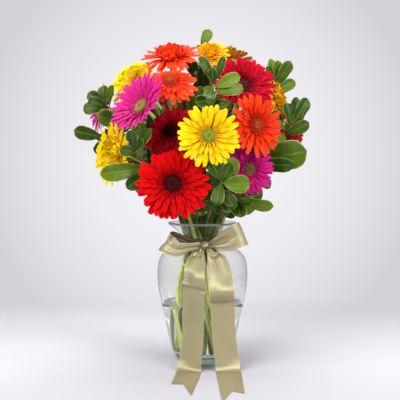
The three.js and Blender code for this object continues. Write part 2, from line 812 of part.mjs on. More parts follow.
// Points all over a leaf
function leafSpots(root, { tip, width, outward }) {
  const along = tip.clone().sub(root);
  const side = along.clone().cross(outward).normalize();
  return SPOTS.map(([share, across]) =>
    root.clone().addScaledVector(along, share).addScaledVector(side, across * width),
  );
}

// True where points of a leaf are clear of every stem but its own, every head and every leaf
function hasRoom(spots, own, lines, heads, taken) {
  const far = (points, room) =>
    spots.every((spot) => points.every((point) => spot.distanceTo(point) >= room));
  const clearOfStems = lines.every((line) => line === own || far(line.points, line.radius + FILL.room));
  if (!clearOfStems || spots.some((spot) => spot.z < FILL.lowest)) {
    return false;
  }
  const inHead = (spot, { at, frame, bloom }) => {
    const local = spot.clone().sub(at).applyMatrix4(frame);
    const out = Math.hypot(local.x, local.y);
    const bent = (bloom.press || []).reduce((sum, [, depth]) => sum + depth, 0);
    const front = AROUND.front + (bloom.cup || 0) * bloom.radius;
    const inDepth = local.z < front && local.z > -AROUND.back - bent;
    const inPetals = inDepth && out < bloom.radius + AROUND.rim;
    return inPetals || (out < AROUND.cup && local.z < 0 && local.z > -AROUND.cupDepth);
  };
  return !heads.some((head) => spots.some((spot) => inHead(spot, head))) && far(taken, FILL.room);
}

// The filler leaves of one twig: each turns round the twig until it has room, or is left out
function fillersOf(own, lines, heads, taken) {
  const found = [];
  for (let k = 0; k < FILL.count; k++) {
    const share = THREE.MathUtils.lerp(FILL.from, FILL.to, k / (FILL.count - 1));
    const root = pointAlong(own.points, share);
    const outward = turned(root.clone().sub(CORE), root, FILL.front).normalize();
    const side = outward.clone().cross(UP).normalize();
    for (let turn = 0; turn < FILL.tries; turn++) {
      const way = side.clone().applyAxisAngle(outward, (turn + k) * GOLDEN);
      way.addScaledVector(outward, FILL.rise).normalize();
      const tip = root.clone().addScaledVector(way, FILL.length);
      const leaf = { share, tip, width: FILL.width, outward, stations: PLAIN_STATIONS };
      const spots = leafSpots(root, leaf);
      if (hasRoom(spots, own, lines, heads, taken)) {
        taken.push(...spots);
        found.push(leaf);
        break;
      }
    }
  }
  return found;
}

// A leafy branch: its twig with every leaf joined to it
function branchGeometry(line, leaves) {
  const path = pathOf(line, TWIG.steps);
  const radii = path.map((_, i) => {
    const share = Math.max(0, i - 2) / TWIG.steps;
    return THREE.MathUtils.lerp(TWIG.radius, TWIG.tipRadius, share);
  });
  const shoot = path.slice(2);
  let solid = toSolid(tube(path, radii, TWIG.sides));
  for (const leaf of leaves) {
    const root = pointAlong(shoot, Math.min(leaf.share, TWIG.lastRoot));
    root.addScaledVector(leaf.tip.clone().sub(root).normalize(), TWIG.root);
    solid = solid.add(toSolid(leafGeometry(root, leaf)));
  }
  return toGeometry(solid);
}

const part = new THREE.Group();

function addMesh(name, geometry, colour, roughness, metalness = 0) {
  const material = new THREE.MeshStandardMaterial({ color: COLOURS[colour], roughness, metalness });
  const mesh = new THREE.Mesh(geometry, material);
  mesh.name = name;
  part.add(mesh);
  return mesh;
}

addMesh("vase", vaseGeometry(), "glass", 0.05);
addMesh("ribbon_knot", knotGeometry(), "ribbon", 0.4);
for (const [name, run] of Object.entries(LOOPS)) {
  addMesh(name, ribbonGeometry(run), "ribbon", 0.4);
}
for (const [name, { run, cut }] of Object.entries(TAILS)) {
  addMesh(name, ribbonGeometry(run, cut), "ribbon", 0.4);
}

const bloomNames = Object.keys(BLOOMS);
const branchNames = Object.keys(BRANCHES);
const ends = [
  ...bloomNames.map((name) => new THREE.Vector3(...BLOOMS[name].at)),
  ...branchNames.map((name) => new THREE.Vector3(...BRANCHES[name].tip)),
];
const directions = [
  ...bloomNames.map((name) => facing(BLOOMS[name].face)),
  ...branchNames.map((name) => new THREE.Vector3(...BRANCHES[name].aim).normalize()),
];
const places = placeInNeck(ends);
const lines = ends.map((end, i) => {
  const isBloom = i < bloomNames.length;
  const back = isBloom ? HEAD.depth + GAP + CALYX.length : 0;
  const from = end.clone().addScaledVector(directions[i], -back);
  return stemLine(places[i], from, directions[i], isBloom ? STEM.radius : TWIG.radius);
});
settle(lines);

// A bloom's own axes: Z the way it faces, Y as near to up as can be
function faceFrame(normal) {
  const x = UP.clone().cross(normal).normalize();
  return new THREE.Matrix4().makeBasis(x, normal.clone().cross(x), normal);
}

bloomNames.forEach((name, i) => {
  const bloom = BLOOMS[name];
  addMesh("stem_" + name, stemGeometry(lines[i], directions[i]), "stem", 0.6);
  const head = addMesh("bloom_" + name, bloomGeometry(bloom, FIRST_SEED + i), bloom.colour, 0.55);
  head.position.copy(ends[i]);
  head.quaternion.setFromRotationMatrix(faceFrame(directions[i]));
});

const heads = bloomNames.map((name, i) => ({
  bloom: BLOOMS[name],
  at: ends[i],
  frame: faceFrame(directions[i]).transpose(),
}));
const twigs = lines.slice(bloomNames.length);
const foliage = branchNames.map((name, i) => {
  return leavesOf(BRANCHES[name], directions[bloomNames.length + i], twigs[i]);
});
const taken = foliage.flatMap((leaves, i) =>
  leaves.flatMap((leaf) => leafSpots(pointAlong(twigs[i].points, leaf.share), leaf)),
);
branchNames.forEach((name, i) => {
  const fillers = fillersOf(twigs[i], lines, heads, taken);
  addMesh(name, branchGeometry(twigs[i], [...foliage[i], ...fillers]), "leaf", 0.45);
});

addMesh("water", waterGeometry(lines), "water", 0.02);

export default part;
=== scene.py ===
"""The looks of gerberas and leafy branches in a clear glass vase, tied with a satin ribbon.

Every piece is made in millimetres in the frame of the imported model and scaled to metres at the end. The
front of the bouquet faces -Y.
"""

import logging
import math
from dataclasses import dataclass, field
from enum import Enum
from functools import cache, reduce

import bmesh
import bpy
import numpy as np
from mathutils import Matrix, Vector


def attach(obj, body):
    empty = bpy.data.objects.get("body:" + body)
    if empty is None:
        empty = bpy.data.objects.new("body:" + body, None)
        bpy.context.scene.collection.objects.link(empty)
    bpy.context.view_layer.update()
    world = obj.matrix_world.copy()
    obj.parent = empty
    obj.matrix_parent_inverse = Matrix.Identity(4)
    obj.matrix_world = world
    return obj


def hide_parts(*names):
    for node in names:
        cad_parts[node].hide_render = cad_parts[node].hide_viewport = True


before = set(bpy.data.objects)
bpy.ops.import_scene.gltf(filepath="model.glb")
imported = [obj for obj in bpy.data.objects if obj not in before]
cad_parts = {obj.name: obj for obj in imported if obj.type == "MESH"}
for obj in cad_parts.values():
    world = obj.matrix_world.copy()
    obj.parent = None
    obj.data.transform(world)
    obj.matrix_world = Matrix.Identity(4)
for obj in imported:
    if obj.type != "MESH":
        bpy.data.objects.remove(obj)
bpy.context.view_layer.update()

log = logging.getLogger("bouquet")
Array = np.ndarray
Colour = tuple[float, float, float]
Point = tuple[float, float, float]
Triple = tuple[float, float, float]
Pairs = tuple[tuple[float, float], ...]
Listed = tuple[tuple[float, Point, float], ...]
MM = 0.001
UP = np.array([0.0, 0.0, 1.0])
GOLDEN = math.radians(137.508)


# Small sums on vectors and curves


def unit(vector: Array) -> Array:
    """Scales vectors, held in the last axis, to length one."""
    return vector / np.maximum(np.linalg.norm(vector, axis=-1, keepdims=True), 1e-9)


def smooth(share: Array) -> Array:
    """Eases a share from 0 to 1, flat at both ends."""
    t = np.clip(share, 0, 1)
    return t * t * (3 - 2 * t)


def srgb(red: float, green: float, blue: float) -> Colour:
    """Turns a colour as the eye reads it on a screen into the values that light uses.

    Args:
        red: Red, from 0 to 1.
        green: Green, from 0 to 1.
        blue: Blue, from 0 to 1.

    Returns:
        The same colour in linear values.
    """
    return tuple(
        c / 12.92 if c <= 0.04045 else ((c + 0.055) / 1.055) ** 2.4
        for c in (red, green, blue)
    )


def shades(*colours: Colour) -> list[Colour]:
    """Turns several colours as the eye reads them into the values that light uses."""
    return [srgb(*colour) for colour in colours]


def through(points: Array, shares: Array) -> Array:
    """Reads a smooth curve that passes through points.

    Args:
        points: The points or other values, one a row.
        shares: Places on the curve, from 0 to 1.

    Returns:
        One row for each share.
    """
    last = len(points) - 1
    held = np.vstack([2 * points[0] - points[1], points, 2 * points[-1] - points[-2]])
    place = np.clip(shares, 0, 1) * last
    low = np.minimum(place.astype(int), last - 1)
    t = (place - low)[:, None]
    p0, p1, p2, p3 = (held[low + k] for k in range(4))
    gaps = [
        np.maximum(np.linalg.norm(b - a, axis=1, keepdims=True), 1e-6) ** 0.5
        for a, b in ((p0, p1), (p1, p2), (p2, p3))
    ]
    d0, d1, d2 = gaps
    start = ((p1 - p0) / d0 - (p2 - p0) / (d0 + d1) + (p2 - p1) / d1) * d1
    end = ((p2 - p1) / d1 - (p3 - p1) / (d1 + d2) + (p3 - p2) / d2) * d1
    square = -3 * p1 + 3 * p2 - 2 * start - end
    cube = 2 * p1 - 2 * p2 + start + end
    return p1 + start * t + square * t**2 + cube * t**3


def tangents(line: Array) -> Array:
    """Gives the unit direction of a line at each of its points."""
    return unit(np.gradient(line, axis=0))


def frames_along(line: Array) -> tuple[Array, Array]:
    """Carries two side directions along a line without twist.

    Args:
        line: The line's points, one a row.

    Returns:
        Two unit directions across the line at each point.
    """
    way = tangents(line)
    side = np.zeros_like(line)
    side[0] = unit(np.cross([1.0, 0.0, 0.0], way[0]))
    for i in range(1, len(line)):
        side[i] = unit(side[i - 1] - way[i] * np.dot(side[i - 1], way[i]))
    return side, np.cross(way, side)


def around(sides: int) -> Array:
    """Gives even angles once round an axis."""
    return np.linspace(0, 2 * np.pi, sides, endpoint=False)


def polar(radius: Array, angle: Array, height: Array | float) -> Array:
    """Turns radius, angle and height round an axis into points."""
    x, y, z = np.broadcast_arrays(radius * np.cos(angle), radius * np.sin(angle), height)
    return np.stack([x, y, z], axis=-1)


def turned(profile: Array | list[tuple[float, float]], sides: int) -> Array:
    """Turns a profile of radius and height round an axis into one patch."""
    radius, height = np.array(profile, dtype=float).T[:, None, :, None]
    return polar(radius, around(sides), height)


# Meshes


class Skin:
    """Gathers the patches of one piece in millimetres, with the values that its finishes read."""

    def __init__(self) -> None:
        """Starts an empty skin."""
        self.points: list[Array] = []
        self.values: list[Array] = []
        self.quads: list[Array] = []
        self.finish: list[Array] = []
        self.count = 0

    def patches(
        self,
        grid: Array,
        along: Array | float = 0.0,
        across: Array | float = 0.0,
        tint: Array | float = 0.0,
        finish: int = 0,
        ring: bool = False,
    ) -> None:
        """Adds patches that are grids of points.

        Args:
            grid: Points as patch, row, column, xyz.
            along: How far each point is along its patch, from 0 to 1.
            across: Where each point is across its patch, from -1 to 1.
            tint: A value of its own for each patch, from 0 to 1.
            finish: Which of the piece's finishes the patches take.
            ring: True where the last column joins the first.
        """
        n, rows, cols, _ = grid.shape
        index = self.count + np.arange(n * rows * cols).reshape(n, rows, cols)
        if ring:
            index = np.concatenate([index, index[:, :, :1]], axis=2)
        corners = (index[:, :-1, :-1], index[:, :-1, 1:], index[:, 1:, 1:], index[:, 1:, :-1])
        quads = np.stack(corners, axis=-1).reshape(-1, 4)
        shape = (n, rows, cols)
        tints = np.broadcast_to(np.reshape(tint, (-1, 1, 1)), shape)
        values = [np.broadcast_to(along, shape), np.broadcast_to(across, shape), tints]
        self.points.append(grid.reshape(-1, 3))
        self.values.append(np.stack(values, axis=-1).reshape(-1, 3))
        self.quads.append(quads)
        self.finish.append(np.full(len(quads), finish))
        self.count += n * rows * cols

    def tube(self, line: Array, radii: Array, sides: int, tint: float, finish: int = 0) -> None:
        """Adds a tube with closed ends.

        Args:
            line: The points of its middle, one a row.
            radii: Its radius at each point.
            sides: How many sides it has.
            tint: A value for the whole tube.
            finish: Which of the piece's finishes it takes.
        """
        side, other = frames_along(line)
        turn = around(sides)[None, :, None]
        across = np.cos(turn) * side[:, None] + np.sin(turn) * other[:, None]
        rings = line[:, None] + radii[:, None, None] * across
        ends = [np.repeat(line[i][None, None], sides, axis=1) for i in (0, -1)]
        grid = np.concatenate([ends[0], rings, ends[1]])[None]
        share = np.linspace(0, 1, grid.shape[1])[None, :, None]
        self.patches(grid, along=share, tint=tint, finish=finish, ring=True)

    def build(self, name: str, *finishes: "Finish") -> bpy.types.Object:
        """Makes the piece in metres.

        Args:
            name: The piece's name.
            *finishes: The finishes that its patches number.

        Returns:
            The new object, linked to the scene.
        """
        points = np.concatenate(self.points) * MM
        quads = np.concatenate(self.quads)
        mesh = bpy.data.meshes.new(name)
        mesh.vertices.add(len(points))
        mesh.vertices.foreach_set("co", points.astype(np.float32).ravel())
        mesh.loops.add(quads.size)
        mesh.loops.foreach_set("vertex_index", quads.astype(np.int32).ravel())
        mesh.polygons.add(len(quads))
        mesh.polygons.foreach_set("loop_start", np.arange(0, quads.size, 4, dtype=np.int32))
        mesh.polygons.foreach_set("material_index", np.concatenate(self.finish).astype(np.int32))
        mesh.update(calc_edges=True)
        values = np.concatenate(self.values)
        for k, key in enumerate(("along", "across", "tint")):
            held = mesh.attributes.new(key, "FLOAT", "POINT")
            held.data.foreach_set("value", values[:, k].astype(np.float32))
        work = bmesh.new()
        work.from_mesh(mesh)
        bmesh.ops.remove_doubles(work, verts=work.verts, dist=1e-7)
        work.to_mesh(mesh)
        work.free()
        mesh.shade_smooth()
        for finish in finishes:
            mesh.materials.append(material_of(finish))
        made = bpy.data.objects.new(name, mesh)
        bpy.context.scene.collection.objects.link(made)
        return made


def place(piece: bpy.types.Object, slot: str, *nodes: str) -> None:
    """Puts a piece in the frame in the place of CAD nodes and reports it.

    Args:
        piece: The finished piece.
        slot: Not used.
        *nodes: The CAD nodes that it stands for.
    """
    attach(piece, "root")
    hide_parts(*nodes)
    log.info("%s: %d faces", piece.name, len(piece.data.polygons))


# Shader nodes


class Nodes:
    """Adds nodes to one shader tree, with short calls for what the finishes need."""

    def __init__(self, tree: bpy.types.NodeTree) -> None:
        """Works on the node tree of a material, a world or a group."""
        self.tree = tree

    def feed(self, socket: bpy.types.NodeSocket, value: object) -> None:
        """Links an output to a socket, or sets a plain value on it.

        Args:
            socket: The socket.
            value: The output or the plain value.
        """
        if isinstance(value, bpy.types.NodeSocket):
            self.tree.links.new(value, socket)
        else:
            socket.default_value = value

    def add(self, kind: str, inputs: dict | None = None, **settings: object) -> bpy.types.Node:
        """Adds a node.

        Args:
            kind: The node's type, without ShaderNode in front.
            inputs: Values or outputs by socket name or number.
            **settings: The node's own settings.

        Returns:
            The new node.
        """
        node = self.tree.nodes.new("ShaderNode" + kind)
        for key, value in settings.items():
            setattr(node, key, value)
        for key, value in (inputs or {}).items():
            self.feed(node.inputs[key], value)
        return node

    def math(self, kind: str, *values: object) -> bpy.types.NodeSocket:
        """Does one sum on numbers or outputs."""
        return self.add("Math", dict(enumerate(values)), operation=kind).outputs[0]

    def weighted(self, *parts: tuple[object, float]) -> bpy.types.NodeSocket:
        """Sums outputs, each times its weight."""
        scaled = [self.math("MULTIPLY", value, weight) for value, weight in parts]
        return reduce(lambda total, part: self.math("ADD", total, part), scaled)

    def value(self, name: str) -> bpy.types.NodeSocket:
        """Reads one of the values that a skin holds at each point."""
        return self.add("Attribute", attribute_name=name).outputs["Fac"]

    def mix(self, share: object, low: object, high: object) -> bpy.types.NodeSocket:
        """Mixes two colours.

        Args:
            share: How much of the second, from 0 to 1.
            low: The first colour, or an output.
            high: The second colour, or an output.

        Returns:
            The mixed colour's output.
        """
        node = self.add("Mix", {0: share}, data_type="RGBA")
        for socket, colour in ((node.inputs[6], low), (node.inputs[7], high)):
            self.feed(socket, (*colour, 1.0) if isinstance(colour, tuple) else colour)
        return node.outputs[2]

    def ramp(self, share: object, stops: list[tuple[float, Colour]]) -> bpy.types.NodeSocket:
        """Reads a colour from stops along a share.

        Args:
            share: The output that gives the share.
            stops: Each stop's place from 0 to 1 and its colour.

        Returns:
            The colour's output.
        """
        node = self.add("ValToRGB", {0: share})
        band = node.color_ramp
        while len(band.elements) < len(stops):
            band.elements.new(0.5)
        for element, (at, colour) in zip(band.elements, stops):
            element.position = at
            element.color = (*colour, 1.0)
        return node.outputs[0]

    def fit(self, value: object, low: float, high: float, to: tuple = (0.0, 1.0)) -> object:
        """Maps a value from low and high to a new range, and holds it there."""
        inputs = {0: value, 1: low, 2: high, 3: to[0], 4: to[1]}
        return self.add("MapRange", inputs, clamp=True).outputs[0]


def group(name: str, inputs: dict[str, float], outputs: list[str]) -> tuple[Nodes, dict, dict]:
    """Starts a shader group of numbers.

    Args:
        name: The group's name.
        inputs: Each input's name and usual value.
        outputs: The outputs' names.

    Returns:
        The group's nodes, its input outlets by name and its output sockets by name.
    """
    tree = bpy.data.node_groups.new(name, "ShaderNodeTree")
    for key, usual in inputs.items():
        socket = tree.interface.new_socket(key, in_out="INPUT", socket_type="NodeSocketFloat")
        socket.default_value = usual
    for key in outputs:
        tree.interface.new_socket(key, in_out="OUTPUT", socket_type="NodeSocketFloat")
    nodes = Nodes(tree)
    start = tree.nodes.new("NodeGroupInput")
    end = tree.nodes.new("NodeGroupOutput")
    return nodes, {k: start.outputs[k] for k in inputs}, {k: end.inputs[k] for k in outputs}


def streaks_group() -> bpy.types.NodeTree:
    """Makes the fine lines that run along a petal or a blade.

    Returns:
        The group's tree.
    """
    nodes, given, result = group(
        "fine_streaks", {"Lines": 9.0, "Grooves": 3.0, "Tint": 0.0}, ["Mask", "Height"]
    )
    across, along = nodes.value("across"), nodes.value("along")
    stretched = ((across, given["Lines"]), (along, 1.6), (given["Tint"], 57.0))
    where = nodes.add("CombineXYZ", dict(enumerate(nodes.math("MULTIPLY", *pair) for pair in stretched)))
    noise = nodes.add("TexNoise", {"Vector": where.outputs[0], "Scale": 1.0, "Detail": 3.0})
    lines = nodes.fit(noise.outputs[0], 0.35, 0.65)
    grooves = nodes.math("MULTIPLY", across, given["Grooves"])
    groove = nodes.math("COSINE", nodes.math("MULTIPLY", grooves, math.pi))
    nodes.feed(result["Mask"], lines)
    nodes.feed(result["Height"], nodes.weighted((groove, 0.5), (lines, 0.5)))
    return nodes.tree


def mottle_group() -> bpy.types.NodeTree:
    """Makes soft uneven patches, by place in the frame.

    Returns:
        The group's tree.
    """
    nodes, given, result = group("soft_mottle", {"Scale": 60.0, "Detail": 3.0}, ["Mask"])
    where = nodes.add("TexCoord").outputs["Object"]
    noise = nodes.add(
        "TexNoise", {"Vector": where, "Scale": given["Scale"], "Detail": given["Detail"]}
    )
    nodes.feed(result["Mask"], nodes.fit(noise.outputs[0], 0.3, 0.7))
    return nodes.tree


class Shared(Enum):
    """The shader groups that several finishes use."""

    STREAKS = "fine_streaks"
    MOTTLE = "soft_mottle"

    def tree(self) -> bpy.types.NodeTree:
        """Gives the group's tree, made once."""
        makers = {Shared.STREAKS: streaks_group, Shared.MOTTLE: mottle_group}
        return bpy.data.node_groups.get(self.value) or makers[self]()


class Material(Nodes):
    """One material's nodes, ending in its Principled shader."""

    def __init__(self, name: str, **plain: float) -> None:
        """Starts a material.

        Args:
            name: The material's name.
            **plain: Uniform values by socket name, with _ for each space.
        """
        self.made = bpy.data.materials.new(name)
        self.made.use_nodes = True
        super().__init__(self.made.node_tree)
        self.surface = self.tree.nodes["Principled BSDF"]
        for key, value in plain.items():
            self.surface.inputs[key.replace("_", " ")].default_value = value

    def shared(self, kind: Shared, **inputs: object) -> bpy.types.Node:
        """Places a shared group with its own values.

        Args:
            kind: The group.
            **inputs: Its values or outputs, by input name.

        Returns:
            The group's node.
        """
        node = self.add("Group", node_tree=kind.tree())
        for key, value in inputs.items():
            self.feed(node.inputs[key], value)
        return node

    def give(self, name: str, value: object) -> None:
        """Feeds one of the surface's sockets."""
        self.feed(self.surface.inputs[name], value)

    def colour_by_tint(self, colour: object, darkest: float, lightest: float) -> None:
        """Colours the surface, darker or lighter by the tint of each patch.

        Args:
            colour: The colour's output.
            darkest: How bright it is where the tint is 0.
            lightest: How bright it is where the tint is 1.
        """
        shade = self.fit(self.value("tint"), 0.0, 1.0, (darkest, lightest))
        told = self.add("HueSaturation", {"Value": shade, "Color": colour})
        self.give("Base Color", told.outputs[0])

    def bump(self, height: object, distance: float, strength: float = 1.0) -> None:
        """Raises the surface by a height from 0 to 1 times a distance in metres."""
        inputs = {"Height": height, "Distance": distance, "Strength": strength}
        self.give("Normal", self.add("Bump", inputs).outputs[0])


# Finishes


@dataclass(frozen=True)
class Finish:
    """A finish, known by the name of its material."""

    name: str

    def material(self) -> bpy.types.Material:
        """Makes the material."""
        raise NotImplementedError


@cache
def material_of(finish: Finish) -> bpy.types.Material:
    """Gives a finish's material, made at the first call."""
    return finish.material()


@dataclass(frozen=True)
class PetalFinish(Finish):
    """Velvety petals whose colour changes from root to tip."""

    root: Colour
    middle: Colour
    tip: Colour
    line: Colour
    lines: float = 0.35

    def material(self) -> bpy.types.Material:
        """Makes the material.

        Returns:
            The material.
        """
        m = Material(self.name, Roughness=0.6, Specular_IOR_Level=0.07)
        tint = m.value("tint")
        streaks = m.shared(Shared.STREAKS, Lines=8.0, Grooves=3.0, Tint=tint)
        along = m.math("ADD", m.value("along"), m.math("MULTIPLY", tint, 0.06))
        colour = m.ramp(along, [(0.08, self.root), (0.42, self.middle), (1.0, self.tip)])
        share = m.math("MULTIPLY", streaks.outputs["Mask"], self.lines)
        m.colour_by_tint(m.mix(share, colour, self.line), 0.86, 1.06)
        m.bump(streaks.outputs["Height"], 0.0005, 0.7)
        return m.made


@dataclass(frozen=True)
class DiscFinish(Finish):
    """The small florets in the middle of a bloom."""

    core: Colour
    edge: Colour
    tip: Colour

    def material(self) -> bpy.types.Material:
        """Makes the material.

        Returns:
            The material.
        """
        m = Material(self.name, Roughness=0.7, Specular_IOR_Level=0.15)
        colour = m.ramp(m.value("along"), [(0.0, self.core), (0.6, self.core), (1.0, self.edge)])
        high = m.fit(m.value("across"), 0.55, 1.0)
        m.colour_by_tint(m.mix(high, colour, self.tip), 0.7, 1.1)
        m.bump(m.shared(Shared.MOTTLE, Scale=2600.0).outputs["Mask"], 0.0003)
        return m.made


@dataclass(frozen=True)
class StemFinish(Finish):
    """Green stems, paler in places, with a fine nap."""

    low: Colour
    high: Colour
    nap: float = 0.0002
    roughness: float = 0.5

    def material(self) -> bpy.types.Material:
        """Makes the material.

        Returns:
            The material.
        """
        m = Material(self.name, Roughness=self.roughness, Sheen_Weight=0.15)
        patches = m.shared(Shared.MOTTLE, Scale=45.0).outputs["Mask"]
        nap = m.shared(Shared.MOTTLE, Scale=1800.0, Detail=2.0).outputs["Mask"]
        share = m.weighted((patches, 0.6), (nap, 0.25), (m.value("tint"), 0.3))
        m.give("Base Color", m.mix(share, self.low, self.high))
        m.bump(nap, self.nap)
        return m.made


@dataclass(frozen=True)
class LeafFinish(Finish):
    """Leathery leaves with a pale rib and a thin pale edge."""

    blade: Colour
    light: Colour
    rib: Colour
    edge: Colour
    roughness: float = 0.34
    gloss: float = 0.22
    veins: float = 9.0
    slant: float = 2.2

    def material(self) -> bpy.types.Material:
        """Makes the material.

        Returns:
            The material.
        """
        m = Material(self.name, Roughness=self.roughness, Specular_IOR_Level=self.gloss)
        across, along, tint = m.value("across"), m.value("along"), m.value("tint")
        out = m.math("ABSOLUTE", across)
        patches = m.shared(Shared.MOTTLE, Scale=90.0).outputs["Mask"]
        share = m.weighted((patches, 0.22), (tint, 0.85))
        colour = m.mix(m.math("SUBTRACT", share, 0.08), self.blade, self.light)
        slanted = m.math("MULTIPLY", out, self.slant)
        spot = m.math("SUBTRACT", m.math("MULTIPLY", along, self.veins), slanted)
        wave = m.math("ABSOLUTE", m.math("SINE", m.math("MULTIPLY", spot, math.pi)))
        vein = m.fit(wave, 0.0, 0.2, (1.0, 0.0))
        colour = m.mix(m.math("MULTIPLY", vein, 0.16), colour, self.rib)
        rib = m.fit(out, 0.02, 0.08, (0.7, 0.0))
        colour = m.mix(rib, colour, self.rib)
        rim = m.math("ADD", out, m.math("MULTIPLY", patches, 0.05))
        colour = m.mix(m.fit(rim, 0.955, 1.01, (0.0, 0.85)), colour, self.edge)
        m.give("Base Color", colour)
        height = m.math("SUBTRACT", m.math("MULTIPLY", patches, 0.3), m.math("ADD", vein, rib))
        m.bump(height, 0.0004, 0.7)
        return m.made


@dataclass(frozen=True)
class SatinFinish(Finish):
    """Satin ribbon: close threads, a soft sheen, a firm selvedge, and a duller back face whose dark colour
    is painted shade.
    """

    colour: Colour
    light: Colour
    back_painted_shade: Colour
    roughness: float = 0.4
    wrong_roughness: float = 0.65
    selvedge: float = 0.93
    threads: float = 380.0
    slubs: float = 900.0

    def material(self) -> bpy.types.Material:
        """Makes the material.

        Returns:
            The material.
        """
        m = Material(
            self.name,
            Metallic=0.42,
            Coat_Weight=0.4,
            Coat_Roughness=0.4,
            Anisotropic=0.5,
            Specular_IOR_Level=0.8,
        )
        across, along = m.value("across"), m.value("along")
        patches = m.shared(Shared.MOTTLE, Scale=30.0).outputs["Mask"]
        edge = m.fit(m.math("ABSOLUTE", across), self.selvedge, self.selvedge + 0.05)
        share = m.weighted((patches, 0.4), (edge, 0.6))
        back = m.add("NewGeometry").outputs["Backfacing"]
        # The back face takes a much darker colour: painted shade for the insides of the loops.
        colour = m.mix(back, m.mix(share, self.colour, self.light), self.back_painted_shade)
        m.give("Base Color", colour)
        m.give("Roughness", m.fit(back, 0.0, 1.0, (self.roughness, self.wrong_roughness)))
        thread = m.math("SINE", m.math("MULTIPLY", across, self.threads))
        slub = m.math("SINE", m.math("MULTIPLY", along, self.slubs))
        height = m.math("ADD", m.weighted((thread, 0.25), (slub, 0.15)), edge)
        m.bump(height, 0.0002, 0.4)
        return m.made


@dataclass(frozen=True)
class ClearFinish(Finish):
    """Clear glass or water, which lets the lamps' light through to what stands in it."""

    colour: Colour
    ior: float
    clear: float = 1.0
    roughness: float = 0.0
    shade: float = 0.93

    def material(self) -> bpy.types.Material:
        """Makes the material.

        Returns:
            The material.
        """
        m = Material(
            self.name, Roughness=self.roughness, Transmission_Weight=self.clear, IOR=self.ior
        )
        m.give("Base Color", (*self.colour, 1.0))
        waves = m.shared(Shared.MOTTLE, Scale=14.0, Detail=1.0)
        m.bump(waves.outputs["Mask"], 0.0004, 0.25)
        through_it = m.add("BsdfTransparent", {"Color": (self.shade, self.shade, self.shade, 1.0)})
        ray = m.add("LightPath").outputs["Is Shadow Ray"]
        both = m.add("MixShader", {0: ray, 1: m.surface.outputs[0], 2: through_it.outputs[0]})
        m.tree.links.new(both.outputs[0], m.tree.nodes["Material Output"].inputs["Surface"])
        return m.made


@dataclass(frozen=True)
class FloorFinish(Finish):
    """A plain pale floor, darker in front with painted shade, which fades out towards its far edge."""

    colour: Colour
    front: Colour
    near: tuple[float, float]
    fade: tuple[float, float]

    def material(self) -> bpy.types.Material:
        """Makes the material.

        Returns:
            The material.
        """
        m = Material(self.name, Roughness=0.6, Specular_IOR_Level=0.2)
        patches = m.shared(Shared.MOTTLE, Scale=3.0).outputs["Mask"]
        light = tuple(min(1.0, c * 1.02) for c in self.colour)
        far = m.add("SeparateXYZ", {0: m.add("TexCoord").outputs["Object"]}).outputs[1]
        # The front colour darkens the floor towards the camera: painted shade.
        colour = m.mix(m.fit(far, *self.near), self.front, m.mix(patches, self.colour, light))
        m.give("Base Color", colour)
        m.give("Alpha", m.fit(far, *self.fade, (1.0, 0.0)))
        return m.made


STEM_GREEN = StemFinish("stem_green", *shades((0.58, 0.66, 0.24), (0.84, 0.86, 0.48)))
TWIG_BARK = StemFinish("twig_bark", *shades((0.3, 0.36, 0.14), (0.5, 0.48, 0.28)), 0.0003, 0.6)
LEAF_UPPER = LeafFinish(
    "leaf_upper",
    *shades((0.17, 0.27, 0.04), (0.44, 0.55, 0.1), (0.48, 0.58, 0.2), (0.74, 0.76, 0.46)),
)
LEAF_UNDER = LeafFinish(
    "leaf_under",
    *shades((0.32, 0.38, 0.12), (0.54, 0.56, 0.2), (0.52, 0.62, 0.3), (0.7, 0.76, 0.48)),
    roughness=0.5,
    gloss=0.2,
)
# Its third colour is painted shade, darkening the ribbon's back face inside the loops.
SATIN = SatinFinish("olive_satin", *shades((0.65, 0.61, 0.44), (0.74, 0.7, 0.56), (0.34, 0.29, 0.17)))
GLASS = ClearFinish("clear_glass", (0.925, 0.94, 0.915), 1.45)
# The rim's pale, partly cloudy glass is a painted highlight along the lip.
RIM_GLASS_PAINTED_HIGHLIGHT = ClearFinish("rim_glass", (0.9, 0.95, 0.92), 1.45, 0.78, 0.2)
BASE_GLASS = ClearFinish("base_glass", (0.25, 0.41, 0.32), 1.45)
WATER = ClearFinish("clear_water", (0.95, 0.98, 0.91), 1.33)
# The second colour is the painted shade on the floor's front part.
PALE_FLOOR = FloorFinish(
    "pale_floor", *shades((0.84, 0.83, 0.855), (0.7, 0.69, 0.71)), (-0.36, -0.06), (0.34, 0.54)
)


# Blooms


class Variety(Enum):
    """The kinds of gerbera in the bouquet."""

    RED = "red"
    YELLOW = "yellow"
    PINK = "pink"
    MAGENTA = "magenta"
    ORANGE = "orange"
    BURGUNDY = "burgundy"
    CRIMSON = "crimson"
    AMBER = "amber"


@dataclass(frozen=True)
class Layer:
    """One layer of petals.

    Its count, its reach as a share of the bloom's radius, its rise, its height, its width as a share of the
    room that a petal has, how far its tips droop, how deep they are notched, its rows, and where in the hub
    it is rooted.
    """

    count: int
    reach: float
    slope: float
    base: float
    width: float
    droop: float = 3.5
    notch: float = 1.0
    rows: int = 11
    root: float = 0.92


